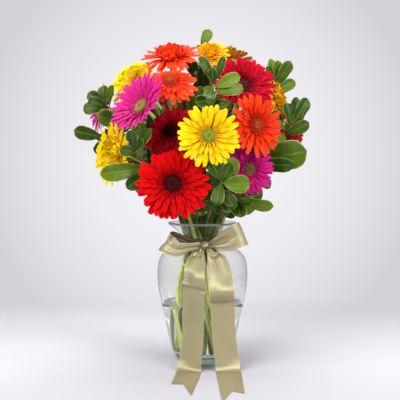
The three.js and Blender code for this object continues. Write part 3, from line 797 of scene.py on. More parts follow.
BROAD = (
    Layer(20, 1.0, 0.16, 0.4, 0.8),
    Layer(20, 0.95, 0.21, 1.4, 0.78),
    Layer(20, 0.82, 0.29, 2.3, 0.76, 3.0),
    Layer(22, 0.6, 0.42, 3.0, 0.74, 2.0),
    Layer(26, 0.38, 0.75, 3.6, 0.7, 0.0, 0.6, 7, 0.8),
)
CLASSIC = (
    Layer(19, 1.0, 0.16, 0.4, 0.76),
    Layer(19, 0.93, 0.22, 1.6, 0.72),
    Layer(18, 0.64, 0.36, 2.6, 0.68, 2.0, 0.8),
    Layer(24, 0.37, 0.7, 3.4, 0.62, 0.0, 0.6, 7, 0.8),
)
NARROW = (
    Layer(27, 1.0, 0.16, 0.4, 0.76),
    Layer(27, 0.91, 0.23, 1.5, 0.72),
    Layer(27, 0.66, 0.38, 2.5, 0.68, 2.0, 0.8),
    Layer(34, 0.38, 0.75, 3.6, 0.62, 0.0, 0.6, 7, 0.8),
)
FULL = (
    Layer(24, 1.0, 0.16, 0.4, 0.86),
    Layer(24, 0.94, 0.21, 1.4, 0.84),
    Layer(24, 0.8, 0.29, 2.3, 0.8, 3.0),
    Layer(26, 0.58, 0.42, 3.0, 0.76, 2.0),
    Layer(30, 0.38, 0.75, 3.6, 0.7, 0.0, 0.6, 7, 0.8),
)


@dataclass(frozen=True)
class HeartRing:
    """A ring of short petals in a closed heart: its count, then sizes as shares of the bloom's radius."""

    count: int
    start: float
    flare: float
    tall: float
    wide: float


HEART = (
    HeartRing(11, 0.3, 0.28, 0.26, 0.13),
    HeartRing(10, 0.23, 0.19, 0.31, 0.12),
    HeartRing(8, 0.16, 0.1, 0.34, 0.105),
    HeartRing(6, 0.09, 0.03, 0.33, 0.08),
    HeartRing(3, 0.04, 0.01, 0.31, 0.06),
)


@dataclass(frozen=True)
class HeartShape:
    """What a closed heart's petals share: shares of their length or width, ranges, and a rise in mm."""

    stray: float = 0.3
    tall_range: tuple[float, float] = (0.85, 1.15)
    flare_range: tuple[float, float] = (0.6, 1.3)
    root_width: float = 0.55
    widest_at: float = 0.5
    narrows_at: float = 0.6
    taper: float = 0.75
    bow: float = 1.9
    trough: float = 0.1
    droop: float = 0.12
    sway: float = 0.05
    raised: float = 2.0


@dataclass(frozen=True)
class PetalShape:
    """What the petals of a layer share, and how far they differ from one another.

    The notches that shorten the tip across its width and the tip's sag are millimetres, and all else is a
    share of the petal's own length, width or room. A pair is a range, or a middle value and its spread.
    """

    notches: tuple[float, ...] = (2.6, 0.5, 0.4, 0.0, 0.5, 0.45, 2.6)
    notch_range: tuple[float, float] = (0.6, 1.3)
    stray: float = 0.2
    length_range: tuple[float, float] = (0.92, 1.02)
    width_range: tuple[float, float] = (0.88, 1.08)
    half_width: float = 0.4
    root_width: float = 0.36
    widest_at: float = 0.64
    narrows_at: float = 0.7
    taper: float = 0.34
    sway: float = 0.04
    roll: tuple[float, float] = (0.1, 0.09)
    trough: float = 0.26
    edge: tuple[float, float] = (0.06, 0.08)
    groove: float = 0.2
    lift: float = 0.03
    sag: tuple[float, float] = (-0.5, 0.9)


@dataclass(frozen=True)
class DiscShape:
    """The disc's florets and the fringe of thin ones round it, in millimetres.

    The fullness and size of a floret and the rim's place are shares of the disc's radius. The floret's rings
    are its width and height as shares, with how far up its colour each ring is.
    """

    florets: int = 110
    floret_size: float = 0.105
    floret_range: tuple[float, float] = (0.5, 1.0)
    floret_rings: tuple[Triple, ...] = ((1.15, -1.8, 0), (1, 0, 0.4), (0.7, 0.75, 0.8), (0, 1, 1))
    dip: float = 0.6
    fall: float = 0.8
    rim: float = 0.9
    rim_at: float = 0.66
    rim_width: float = 0.2
    thin: int = 96
    thin_stray: float = 0.4
    thin_start: tuple[float, float] = (-0.2, 0.3)
    thin_lean: tuple[float, float] = (0.8, 2.6)
    thin_height: tuple[float, float] = (1.6, 3.0)
    thin_low: float = -2.4
    thin_half: float = 0.42


HEART_PETAL = HeartShape()
PETAL = PetalShape()
DISC = DiscShape()


@dataclass(frozen=True)
class Looks:
    """The colours and petal layers of one kind of gerbera, and how much of the hub its disc fills."""

    petals: PetalFinish
    disc: DiscFinish
    fringe: Colour
    layers: tuple[Layer, ...] = CLASSIC
    fill: float = 0.66


DARK_RED = (0.2, 0.02, 0.04)
MOSS = (0.26, 0.3, 0.06)

# Petals have a root, a middle, a tip and a streak colour, and discs a core, an edge and a tip colour
LOOKS = {
    Variety.RED: Looks(
        PetalFinish(
            "petal_red",
            *shades((0.4, 0.0, 0.01), (0.84, 0.0, 0.02), (0.95, 0.03, 0.06), (0.66, 0.0, 0.01)),
        ),
        DiscFinish("disc_dark", *shades((0.08, 0.01, 0.02), DARK_RED, (0.4, 0.03, 0.05))),
        srgb(0.4, 0.01, 0.03),
        BROAD,
        0.72,
    ),
    Variety.YELLOW: Looks(
        PetalFinish(
            "petal_yellow",
            *shades((0.96, 0.62, 0.0), (1.0, 0.82, 0.02), (1.0, 0.9, 0.1), (0.97, 0.66, 0.0)),
        ),
        DiscFinish("disc_lime", *shades((0.38, 0.5, 0.06), (0.6, 0.64, 0.12), (0.8, 0.82, 0.3))),
        srgb(0.95, 0.87, 0.4),
        fill=0.6,
    ),
    Variety.PINK: Looks(
        PetalFinish(
            "petal_pink",
            *shades((0.93, 0.3, 0.58), (0.92, 0.16, 0.56), (0.95, 0.22, 0.62), (0.8, 0.06, 0.44)),
        ),
        DiscFinish("disc_olive", *shades(MOSS, (0.76, 0.72, 0.28), (0.86, 0.78, 0.4))),
        srgb(0.97, 0.62, 0.72),
        NARROW,
    ),
    Variety.MAGENTA: Looks(
        PetalFinish(
            "petal_magenta",
            *shades((0.76, 0.1, 0.42), (0.86, 0.08, 0.5), (0.93, 0.17, 0.6), (0.66, 0.03, 0.36)),
        ),
        DiscFinish("disc_green", *shades(MOSS, (0.55, 0.42, 0.16), (0.66, 0.5, 0.24))),
        srgb(0.82, 0.4, 0.52),
        NARROW,
        0.7,
    ),
    Variety.ORANGE: Looks(
        PetalFinish(
            "petal_orange",
            *shades((0.82, 0.09, 0.01), (0.95, 0.2, 0.04), (0.98, 0.32, 0.15), (0.86, 0.12, 0.02)),
        ),
        DiscFinish("disc_rust", *shades((0.5, 0.16, 0.04), (0.8, 0.2, 0.05), (0.95, 0.5, 0.25))),
        srgb(0.93, 0.32, 0.16),
        fill=0.46,
    ),
    Variety.BURGUNDY: Looks(
        PetalFinish(
            "petal_burgundy",
            *shades((0.3, 0.0, 0.02), (0.64, 0.0, 0.08), (0.78, 0.02, 0.14), (0.44, 0.0, 0.05)),
        ),
        DiscFinish("disc_black", *shades((0.04, 0.01, 0.01), (0.12, 0.01, 0.02), DARK_RED)),
        srgb(0.42, 0.0, 0.05),
        BROAD,
        0.76,
    ),
    Variety.CRIMSON: Looks(
        PetalFinish(
            "petal_crimson",
            *shades((0.4, 0.0, 0.05), (0.74, 0.0, 0.12), (0.82, 0.01, 0.17), (0.5, 0.0, 0.07)),
        ),
        DiscFinish("disc_wine", *shades((0.16, 0.06, 0.04), (0.36, 0.08, 0.08), (0.6, 0.2, 0.18))),
        srgb(0.56, 0.04, 0.14),
        FULL,
        0.42,
    ),
    Variety.AMBER: Looks(
        PetalFinish(
            "petal_amber",
            *shades((0.98, 0.52, 0.0), (1.0, 0.7, 0.04), (1.0, 0.8, 0.14), (1.0, 0.58, 0.0)),
        ),
        DiscFinish("disc_gold", *shades((0.55, 0.5, 0.1), (0.9, 0.62, 0.15), (1.0, 0.8, 0.3))),
        srgb(1.0, 0.75, 0.25),
    ),
}


class Grown:
    """A piece that grows from a seed, with a skin and random draws of its own."""

    skin: Skin
    rng: np.random.Generator

    def start(self, seed: int) -> None:
        """Starts an empty skin and the draws."""
        self.skin, self.rng = Skin(), np.random.default_rng(seed)


@dataclass
class Bloom(Grown):
    """A gerbera head.

    Its disc's middle, the way it faces, its radius and kind, the sides on which its petals are pressed back
    and stay short, as degrees, millimetres and share of their length, how much steeper its petals rise, and
    whether short petals close its middle.
    """

    name: str
    at: Point
    face: tuple[float, float]
    radius: float
    kind: Variety
    press: tuple[Triple, ...] = ()
    cup: float = 0.0
    closed: bool = False
    hub_share: float = 0.21
    depth: float = 6.0
    seed: int = 0

    def hub(self) -> float:
        """Gives the radius that the disc and its fringe take up."""
        return self.hub_share * self.radius

    def normal(self) -> Array:
        """Gives the way that the head faces.

        Returns:
            A unit direction.
        """
        turn, rise = (math.radians(v) for v in self.face)
        flat = math.cos(rise)
        return np.array([math.sin(turn) * flat, -math.cos(turn) * flat, math.sin(rise)])

    def axes(self) -> Array:
        """Gives the head's own axes as rows, the last the way it faces.

        Returns:
            Three unit directions.
        """
        normal = self.normal()
        side = unit(np.cross(UP, normal))
        return np.stack([side, np.cross(normal, side), normal])

    def to_frame(self, grid: Array) -> Array:
        """Turns points of the head's own frame into the part's."""
        return grid @ self.axes() + np.array(self.at)

    def pressed(self, turn: Array, part: int, power: int) -> Array:
        """Sums what the presses do to the petals at a turn.

        Args:
            turn: Angles round the middle.
            part: 1 for how far the petals bend back, 2 for how much shorter they are.
            power: How fast the effect fades round the head.

        Returns:
            The sum at each angle.
        """
        total = 0.0 * turn
        for press in self.press:
            total = total + press[part] * np.maximum(0, np.cos(turn - math.radians(press[0]))) ** power
        return total

    def height(self, layer: Layer, reach: Array, turn: Array) -> Array:
        """Gives the height of a layer.

        Args:
            layer: The layer of petals.
            reach: Distances from the middle.
            turn: Angles round the middle.

        Returns:
            Heights over the disc's edge.
        """
        out = reach - self.hub()
        share = out / (self.radius - self.hub())
        sunk = (layer.droop + self.pressed(turn, 1, 1)) * share * np.abs(share)
        return layer.base - self.depth + (layer.slope + self.cup) * out - sunk

    def petals(self, layer: Layer, offset: float) -> None:
        """Adds one layer of petals.

        Args:
            layer: The layer.
            offset: How far the layer is turned, in petals.
        """
        rng, n = self.rng, layer.count
        each, step = (n, 1, 1), 2 * np.pi / n
        turns = (np.arange(n) + offset + rng.uniform(-PETAL.stray, PETAL.stray, n)) * step
        reach = layer.reach * self.radius * rng.uniform(*PETAL.length_range, n)
        reach = (reach * (1 - self.pressed(turns, 2, 2)))[:, None, None]
        root = self.hub() * layer.root
        u = np.linspace(0, 1, layer.rows)[None, :, None]
        v = np.linspace(-1, 1, len(PETAL.notches))[None, None, :]
        cut = np.array(PETAL.notches) * layer.notch
        cut = cut * rng.uniform(*PETAL.notch_range, (n, 1, len(PETAL.notches)))
        out = root + (reach - root - cut) * u
        half = PETAL.half_width * layer.width * step * layer.reach * self.radius
        swell = PETAL.root_width + (1 - PETAL.root_width) * smooth(u / PETAL.widest_at)
        narrow = np.clip((u - PETAL.narrows_at) / (1 - PETAL.narrows_at), 0, 1)
        wide = half * swell * (1 - PETAL.taper * narrow**2) * rng.uniform(*PETAL.width_range, each)
        bend = rng.normal(0, PETAL.sway, each) * reach * u**2
        aside = v * wide + bend
        distance = np.hypot(out, aside)
        turn = turns[:, None, None] + np.arctan2(aside, out)
        roll = (PETAL.roll[0] + rng.normal(0, PETAL.roll[1], each)) * v * wide
        edge = wide * v**2 * (PETAL.trough * (1 - u) + rng.normal(*PETAL.edge, each))
        ridge = PETAL.groove * np.cos(3 * np.pi * v) * smooth(u / 0.2) * (1 - 0.4 * u)
        lift = rng.normal(0, PETAL.lift, each) * (out - root)
        tip = rng.normal(*PETAL.sag, each) * u**5
        z = self.height(layer, distance, turn) + roll + edge + ridge + lift + tip * layer.reach
        grid = self.to_frame(polar(distance, turn, z))
        self.skin.patches(grid, along=u * layer.reach, across=v, tint=rng.uniform(0, 1, n))

    def heart(self) -> None:
        """Adds the short petals that stand up in rings and close in over the disc."""
        rng, form = self.rng, HEART_PETAL
        u = np.linspace(0, 1, 9)[None, :, None]
        v = np.linspace(-1, 1, 5)[None, None, :]
        narrow = np.clip((u - form.narrows_at) / (1 - form.narrows_at), 0, 1)
        swell = form.root_width + (1 - form.root_width) * smooth(u / form.widest_at)
        swell = swell * (1 - form.taper * narrow**2)
        for ring in HEART:
            n, wide = ring.count, ring.wide * self.radius
            turn = (np.arange(n) + rng.uniform(-form.stray, form.stray, n)) * 2 * np.pi / n
            high = ring.tall * self.radius * rng.uniform(*form.tall_range, (n, 1, 1))
            lean = ring.flare * self.radius * rng.uniform(*form.flare_range, (n, 1, 1))
            out = ring.start * self.radius + lean * np.sin(form.bow * u) - form.trough * np.abs(v) * wide
            aside = turn[:, None, None] + v * wide * swell / np.maximum(out, wide)
            aside = aside + rng.normal(0, form.sway, (n, 1, 1))
            z = form.raised - self.depth + high * u - form.droop * v**2 * wide
            grid = self.to_frame(polar(out, aside, z))
            self.skin.patches(grid, along=0.6 + 0.4 * u, across=v, tint=rng.uniform(0, 1, n))

    def buds(self, fill: float) -> None:
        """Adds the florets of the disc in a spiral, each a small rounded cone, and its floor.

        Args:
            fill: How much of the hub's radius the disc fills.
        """
        n, hub, edge = DISC.florets, self.hub(), self.hub() * fill
        index = np.arange(n)
        share = np.sqrt((index + 0.5) / n)
        rim = np.exp(-(((share - DISC.rim_at) / DISC.rim_width) ** 2))
        middle = polar(edge * share, index * GOLDEN, DISC.rim * rim - DISC.dip - DISC.fall * share**2)
        size = edge * DISC.floret_size * (0.75 + 0.5 * share)
        tall = self.rng.uniform(*DISC.floret_range, n) * (0.7 + 0.8 * share)
        wide, high, level = (np.array(row)[None, :, None] for row in zip(*DISC.floret_rings))
        cones = polar(wide * size[:, None, None], around(6), high * tall[:, None, None])
        self.skin.patches(
            self.to_frame(middle[:, None, None] + cones),
            along=share[:, None, None],
            across=level,
            tint=self.rng.uniform(0, 1, n),
            finish=1,
            ring=True,
        )
        skirt = max(1.3 * edge, 0.75 * hub)
        floor = turned([(0.0, -0.9), (0.9 * edge, -1.1), (skirt, -1.9), (1.2 * hub, -3.4)], 24)
        self.skin.patches(self.to_frame(floor), along=0.8, tint=0.2, finish=1, ring=True)

    def fringe(self, fill: float) -> None:
        """Adds the ring of thin florets that lean out round the disc.

        Args:
            fill: How much of the hub's radius the disc fills.
        """
        n, rng = DISC.thin, self.rng
        turn = (np.arange(n) + rng.uniform(-DISC.thin_stray, DISC.thin_stray, n)) * 2 * np.pi / n
        rank = np.array([fill, (fill + 1) / 2, 1.0])
        start = self.hub() * rank[np.arange(n) % len(rank)] + rng.uniform(*DISC.thin_start, n)
        lean = rng.uniform(*DISC.thin_lean, n)
        tall = rng.uniform(*DISC.thin_height, n)
        u = np.linspace(0, 1, 4)[None, :, None]
        v = np.array([-1.0, 0.0, 1.0])[None, None, :]
        radius = start[:, None, None] + lean[:, None, None] * u**1.4
        aside = turn[:, None, None] + v * DISC.thin_half * (1 - 0.65 * u) / radius
        z = DISC.thin_low + tall[:, None, None] * u + 0.2 * v**2
        grid = self.to_frame(polar(radius, aside, z))
        self.skin.patches(grid, along=1.0, across=u, tint=rng.uniform(0, 1, n), finish=2)

    def build(self) -> None:
        """Makes the head and dresses it."""
        self.start(self.seed)
        looks = LOOKS[self.kind]
        for k, layer in enumerate(looks.layers):
            self.petals(layer, 0.5 * k)
        if self.closed:
            self.heart()
        self.buds(looks.fill)
        self.fringe(looks.fill)
        fringe = DiscFinish("fringe_" + self.kind.value, looks.fringe, looks.fringe, looks.disc.tip)
        piece = self.skin.build("gerbera_" + self.name, looks.petals, looks.disc, fringe)
        place(piece, "petal_" + self.kind.value, "bloom_" + self.name)


# Lines of stems and twigs


@dataclass
class StemLines:
    """Leads every stem and twig from the vase's floor through the neck to its end."""

    neck: float = 174.0
    bundle: float = 21.5
    lean: float = 1.1
    belly: tuple[float, float, float] = (98.0, 1.85, math.radians(28))
    foot: tuple[float, float, float] = (15.0, 1.65, math.radians(66))
    rise: float = 0.3
    outward: float = 0.12
    arrive: float = 0.38
    points: int = 42
    held: int = 3
    rounds: int = 100
    clearance: float = 4.5
    push: float = 0.35
    ease: float = 0.3
    step: float = 0.8
    softened: int = 3

    def places(self, ends: Array) -> Array:
        """Gives each stem its place in the neck, those that lean out furthest first.

        Args:
            ends: Where the stems end.

        Returns:
            Places across the neck, one a row.
        """
        n = len(ends)
        index = np.arange(n)
        reach = self.bundle * np.sqrt((index + 0.5) / n)
        free = list(np.stack([reach * np.cos(index * GOLDEN), reach * np.sin(index * GOLDEN)], axis=-1))
        away = unit(ends - np.array([0, 0, self.neck]))
        wishes = away[:, :2] * self.bundle * self.lean
        chosen = np.zeros((n, 2))
        for i in sorted(range(n), key=lambda k: -np.linalg.norm(wishes[k])):
            free.sort(key=lambda p: np.linalg.norm(p - wishes[i]))
            chosen[i] = free.pop(0)
        return chosen

    def lines(self, ends: Array, ways: Array, radii: Array) -> tuple[Array, Array]:
        """Makes the lines and lets them make room for one another.

        Args:
            ends: Where the stems end.
            ways: Which way each points there.
            radii: How thick each is.

        Returns:
            The stems' points below the neck, and those from the neck up, as stem, point, xyz.
        """
        places = self.places(ends)
        necks = np.column_stack([places, np.full(len(ends), self.neck)])
        feet, bellies = (self.below(places, *level) for level in (self.foot, self.belly))
        reach = np.linalg.norm(ends - necks, axis=1, keepdims=True)
        flat = ends * np.array([1, 1, 0]) * self.outward
        low = necks + unit(necks - feet) * reach * self.rise + flat
        high = ends - ways * reach * self.arrive
        t = np.linspace(0, 1, self.points + 1)[None, :, None]
        corners = [p[:, None] for p in (necks, low, high, ends)]
        weights = [(1 - t) ** 3, 3 * (1 - t) ** 2 * t, 3 * (1 - t) * t**2, t**3]
        lines = sum(w * p for w, p in zip(weights, corners))
        self.settle(lines, radii)
        share = np.linspace(0, 1, 10)[None, :, None]
        stops = [level[:, None] for level in (feet, bellies, necks)]
        under = [a + (b - a) * share for a, b in zip(stops, stops[1:])]
        lower = np.concatenate([under[0][:, :-1], under[1]], axis=1)
        for _ in range(self.softened):
            lower[:, 1:-1] = (lower[:, :-2] + 2 * lower[:, 1:-1] + lower[:, 2:]) / 4
        return lower[:, :-1], lines

    def below(self, places: Array, level: float, spread: float, turn: float) -> Array:
        """Gives the stems' places at a level below the neck.

        Args:
            places: Their places across the neck.
            level: The height.
            spread: How much further out they are.
            turn: How far they are turned round the axis.

        Returns:
            Points, one a row.
        """
        cos, sin = math.cos(turn), math.sin(turn)
        at = places @ np.array([[cos, sin], [-sin, cos]]) * spread
        return np.column_stack([at, np.full(len(places), level)])

    def settle(self, lines: Array, radii: Array) -> None:
        """Pushes apart points of different stems that are too near, and smooths each line a little.

        Args:
            lines: The lines as stem, point, xyz, which are changed.
            radii: How thick each is.
        """
        n, m, _ = lines.shape
        owner = np.repeat(np.arange(n), m)
        need = radii[owner][:, None] + radii[owner][None] + self.clearance
        need = np.where(owner[:, None] == owner[None], 0, need)
        for _ in range(self.rounds):
            flat = lines.reshape(-1, 3)
            apart = flat[:, None] - flat[None]
            distance = np.sqrt((apart**2).sum(-1))
            short = np.maximum(need - distance, 0) / np.maximum(distance, 1e-9)
            pushes = (self.push * short[..., None] * apart).sum(1).reshape(lines.shape)
            size = np.linalg.norm(pushes, axis=-1, keepdims=True)
            pushes *= np.minimum(1, self.step / np.maximum(size, 1e-9))
            inner = slice(1, m - self.held)
            middle = (lines[:, : m - self.held - 1] + lines[:, 2 : m - self.held + 1]) / 2
            moved = lines[:, inner] + (middle - lines[:, inner]) * self.ease + pushes[:, inner]
            lines[:, inner] = moved


@dataclass
class Stem(Grown):
    """A bloom's stem, with the green cup and its bracts under the petals.

    The flare gives the cup's width at places up its length, both as shares.
    """

    bloom: Bloom
    lower: Array
    line: Array
    radius: float = 2.6
    swell: float = 0.12
    sides: int = 12
    cup: float = 8.5
    cup_length: float = 9.0
    flare: Pairs = ((0.12, 0.36), (0.3, 0.52), (0.5, 0.74), (0.7, 0.9), (0.88, 0.98), (1.0, 1.0))
    bract_count: int = 26
    bract_half: float = 1.5
    bract_starts: tuple[float, float] = (0.15, 0.3)
    bract_stray: float = 0.06
    off_cup: float = 0.35
    first_draw: int = 500

    def build(self) -> None:
        """Makes the stem and dresses it."""
        self.start(self.bloom.seed + self.first_draw)
        rise, wide = (np.array(row) for row in zip(*self.flare))
        cup = self.line[-1] + self.bloom.normal() * (rise * self.cup_length)[:, None]
        path = np.vstack([self.lower, self.line, cup])
        radii = np.full(len(path), self.radius)
        radii += self.swell * np.sin(np.arange(len(path)) * 1.3 + self.rng.uniform(0, 6))
        radii[-len(rise) :] = self.cup * wide
        self.skin.tube(path, radii, self.sides, tint=self.rng.uniform(0, 1))
        self.bracts()
        piece = self.skin.build("stalk_" + self.bloom.name, STEM_GREEN)
        place(piece, "stem_green", "stem_" + self.bloom.name)

    def bracts(self) -> None:
        """Adds pointed bracts round the cup, longer and shorter ones in turn."""
        rng, n = self.rng, self.bract_count
        index = np.arange(n)
        turn = index * 2 * np.pi / n + rng.uniform(-self.bract_stray, self.bract_stray, n)
        top = -self.bloom.depth - 0.3
        u = np.linspace(0, 1, 6)[None, :, None]
        v = np.array([-1.0, 0.0, 1.0])[None, None, :]
        low = np.where(index % 2, *self.bract_starts)[:, None, None]
        share = low + (1.0 - low) * u
        out = self.radius + (self.cup - self.radius) * np.sin(share * np.pi / 2) ** 0.8 + self.off_cup
        out = out + 0.5 * u**3 + 0.3 * (1 - v**2)
        wide = self.bract_half * np.sin(np.pi * np.clip(0.15 + 0.85 * (1 - u), 0, 1) / 1.6) * (1 - u**4)
        angle = turn[:, None, None] + v * wide / out
        grid = polar(out, angle, top - self.cup_length * (1 - share))
        tint = rng.uniform(0, 0.5, n)
        self.skin.patches(self.bloom.to_frame(grid), along=u, across=v, tint=tint)


# Leafy branches


DOME = np.array([-15.0, 0.0, 320.0])
CORE = np.array([-5.0, 0.0, 215.0])
FRONT = np.array([0.0, -1.0, 0.25])
BACK_FROM = 40.0
LEAF_TO_FRONT = 220.0

# How thick a twig is, at shares of its length
TWIG_RADII = ((0, 1.9), (0.3, 1.8), (1, 1.1))

# Each twig's leaves in the neck: share of the twig, turn from its side, reach from the axis and rise
NECK_LEAVES = ((0.03, -0.3, 32.0, 36.0), (0.05, 0.32, 29.0, 34.0), (0.1, 0.0, 34.0, 30.0))
NECK_LEAF_WIDTH = 13.0


def facing_of(way: Array, point: Array, front: float) -> Array:
    """Gives the way a leaf's upper face turns: more to the front where its point is before the middle."""
    return way - np.array([0.0, front if point[1] < BACK_FROM else 0.0, 0.0])


def leaf_facing(tip: Array) -> Array:
    """Gives the way the upper face of a listed leaf turns, out of the bouquet."""
    return facing_of(tip - DOME, tip, LEAF_TO_FRONT)


@dataclass(frozen=True)
class BladeShape:
    """What the leaves' blades share, as places along a leaf with a share of its width or length.

    The lower and upper outline give the half width, and the arch how high the middle is. The edge curls
    down from a share of the half width on, and the blade is thickest, in millimetres, along its middle.
    """

    lower: Pairs = ((0, 0.07), (0.08, 0.08), (0.16, 0.3), (0.36, 0.72), (0.56, 0.93), (0.76, 1.0))
    upper: Pairs = ((0.88, 0.84), (0.95, 0.56), (0.985, 0.3), (1, 0.02))
    arch: Pairs = ((0, 0), (0.18, 0.032), (0.36, 0.05), (0.56, 0.052), (0.76, 0.04), (0.9, 0.01), (1, -0.03))
    fold: tuple[float, float] = (0.12, 0.03)
    curl: float = 0.06
    curl_from: float = 0.8
    sway: float = 0.02
    thick: float = 0.32
    thin: float = 0.04


BLADE = BladeShape()


@dataclass
class Leaf:
    """One leaf: where it leaves its twig, where it ends, its width and the way its upper face turns."""

    root: Array
    tip: Array
    width: float
    outward: Array

    def spots(self) -> Array:
        """Gives points all over the leaf, one a row.

        Returns:
            The points.
        """
        along = self.tip - self.root
        side = unit(np.cross(along, self.outward))
        shares, sides = (0.2, 0.35, 0.55, 0.75, 0.95), (-0.45, 0.0, 0.45)
        pairs = [(share, across) for share in shares for across in sides]
        return np.array([self.root + along * s + side * a * self.width for s, a in pairs])

    def add_to(self, skin: Skin, rng: np.random.Generator) -> None:
        """Adds the leaf: a short stalk and an egg-shaped blade with a wavy edge, two faces thick.

        Args:
            skin: The skin to add to.
            rng: The draws.
        """
        along = self.tip - self.root
        length = np.linalg.norm(along)
        along = along / length
        side = unit(np.cross(along, self.outward))
        normal = np.cross(side, along)
        u = np.linspace(0, 1, 19)[:, None]
        v = np.linspace(-1, 1, 11)[None]
        half = np.interp(u, *zip(*BLADE.lower, *BLADE.upper)) * self.width / 2
        phase = rng.uniform(0, 6, 2)
        wave = 0.05 * np.sin(9 * u + phase[0] + v) + 0.03 * np.sin(17 * u + phase[1])
        fold = (BLADE.fold[0] + rng.normal(0, BLADE.fold[1])) * v**2
        fold = fold + wave * v**4 * np.minimum(1, 4 * u)
        curl = BLADE.curl * np.maximum(np.abs(v) - BLADE.curl_from, 0) / (1 - BLADE.curl_from)
        full = np.minimum(1, half / self.width * 2.4)
        lift = np.interp(u, *zip(*BLADE.arch)) * length + (fold - curl) * self.width * full
        bend = rng.normal(0, BLADE.sway) * length * np.sin(np.pi * u)
        middle = self.root + u[..., None] * length * along + (v * half + bend)[..., None] * side
        thick = (BLADE.thick * (1 - v**2) + BLADE.thin) * np.minimum(1, half * 2)
        tint = rng.uniform(0, 1) ** 2
        for face, finish in ((1, 0), (-1, 1)):
            grid = (middle + (lift + face * thick)[..., None] * normal)[None, :, ::face]
            across = v[None, :, ::face]
            skin.patches(grid, along=u[None], across=across, tint=tint, finish=finish)


@dataclass
class Branch(Grown):
    """A twig with its leaves: each is rooted at a share of the twig, and has a tip and a width.

    Branches at the back have a whorl instead: a count, a length and a width. The inner leaves fill the
    shade between the heads.
    """

    name: str
    tip: Point
    aim: Point
    leaves: Listed = ()
    whorl: tuple[int, float, float] = (0, 0.0, 0.0)
    inner: Listed = ()
    seed: int = 0
    lower: Array | None = None
    line: Array | None = None
    fillers: list[Leaf] = field(default_factory=list)

    def way(self) -> Array:
        """Gives the way that the twig points at its end."""
        return unit(np.array(self.aim, dtype=float))

    def shoot_point(self, share: float) -> Array:
        """Gives the point at a share of the twig's length above the neck.

        Args:
            share: The share, from 0 at the neck to 1.

        Returns:
            The point.
        """
        steps = np.linalg.norm(np.diff(self.line, axis=0), axis=1)
        run = np.concatenate([[0], np.cumsum(steps)])
        return np.array([np.interp(share * run[-1], run, self.line[:, k]) for k in range(3)])

    def own_leaves(self) -> list[Leaf]:
        """Lists the leaves that are given or that stand in a whorl.

        Returns:
            The leaves.
        """
        tips = [(s, np.array(t, dtype=float), w) for s, t, w in self.leaves]
        found = [Leaf(self.shoot_point(s), t, w, leaf_facing(t)) for s, t, w in tips]
        count, length, width = self.whorl
        aim = self.way()
        side = unit(np.cross(UP, aim))
        other = np.cross(aim, side)
        for k in range(count):
            turn, spread = k * GOLDEN, math.radians(62 + 4 * k)
            out = side * math.cos(turn) + other * math.sin(turn)
            root = self.shoot_point(1 - 0.05 * k)
            tip = root + (aim * math.cos(spread) + out * math.sin(spread)) * length
            found.append(Leaf(root, tip, width, leaf_facing(tip)))
        return found

    def inner_leaves(self) -> list[Leaf]:
        """Lists the leaves that fill the shade between the heads, and those in the vase's neck.

        Returns:
            The leaves.
        """
        tips = [(s, np.array(t, dtype=float), w) for s, t, w in self.inner]
        found = [Leaf(self.shoot_point(s), t, w, FRONT) for s, t, w in tips]
        for share, turn, reach, high in NECK_LEAVES:
            root = self.shoot_point(share)
            angle = math.atan2(root[1], root[0]) + turn
            out = np.array([math.cos(angle), math.sin(angle), 0.0])
            tip = out * reach + UP * (root[2] + high)
            found.append(Leaf(root, tip, NECK_LEAF_WIDTH, out))
        return found

    def build(self) -> None:
        """Makes the branch and dresses it."""
        self.start(self.seed)
        path = np.vstack([self.lower, self.line])
        radii = np.interp(np.linspace(0, 1, len(path)), *zip(*TWIG_RADII))
        radii = radii + 0.12 * np.sin(np.arange(len(path)) * 1.9)
        self.skin.tube(path, radii, 8, tint=self.rng.uniform(0, 1), finish=2)
        for leaf in self.own_leaves() + self.inner_leaves() + self.fillers:
            leaf.add_to(self.skin, self.rng)
        piece = self.skin.build("leafy_" + self.name, LEAF_UPPER, LEAF_UNDER, TWIG_BARK)
        place(piece, "leaf_green", "branch_" + self.name)


@dataclass
class Surroundings:
    """What a filler leaf keeps clear of: the stems, the heads and the leaves that are already there."""

    lines: Array
    radii: Array
    blooms: list[Bloom]
    taken: list[Array]
    lowest: float = 216.0
    behind: float = 11.0
    before: float = 9.0
    beside: float = 3.0
    cup: tuple[float, float] = (13.0, 22.0)

    def has_room(self, spots: Array, own: int, room: float) -> bool:
        """Tells whether points of a leaf are clear of everything but their own twig.

        Args:
            spots: The points, one a row.
            own: Which line is their own twig.
            room: The room that they keep.

        Returns:
            True where they are clear.
        """
        if spots[:, 2].min() < self.lowest:
            return False
        others = np.arange(len(self.lines)) != own
        points = self.lines[others].reshape(-1, 3)
        need = np.repeat(self.radii[others], self.lines.shape[1]) + room
        if (np.linalg.norm(spots[:, None] - points[None], axis=-1) < need).any():
            return False
        for bloom in self.blooms:
            local = (spots - np.array(bloom.at)) @ bloom.axes().T
            out, high = np.hypot(local[:, 0], local[:, 1]), local[:, 2]
            low = -self.behind - sum(press[1] for press in bloom.press)
            front = self.before + bloom.cup * bloom.radius
            in_petals = (out < bloom.radius + self.beside) & (high < front) & (high > low)
            in_cup = (out < self.cup[0]) & (high < 0) & (high > -self.cup[1])
            if (in_petals | in_cup).any():
                return False
        taken = np.concatenate(self.taken)
        return bool((np.linalg.norm(spots[:, None] - taken[None], axis=-1) >= room).all())


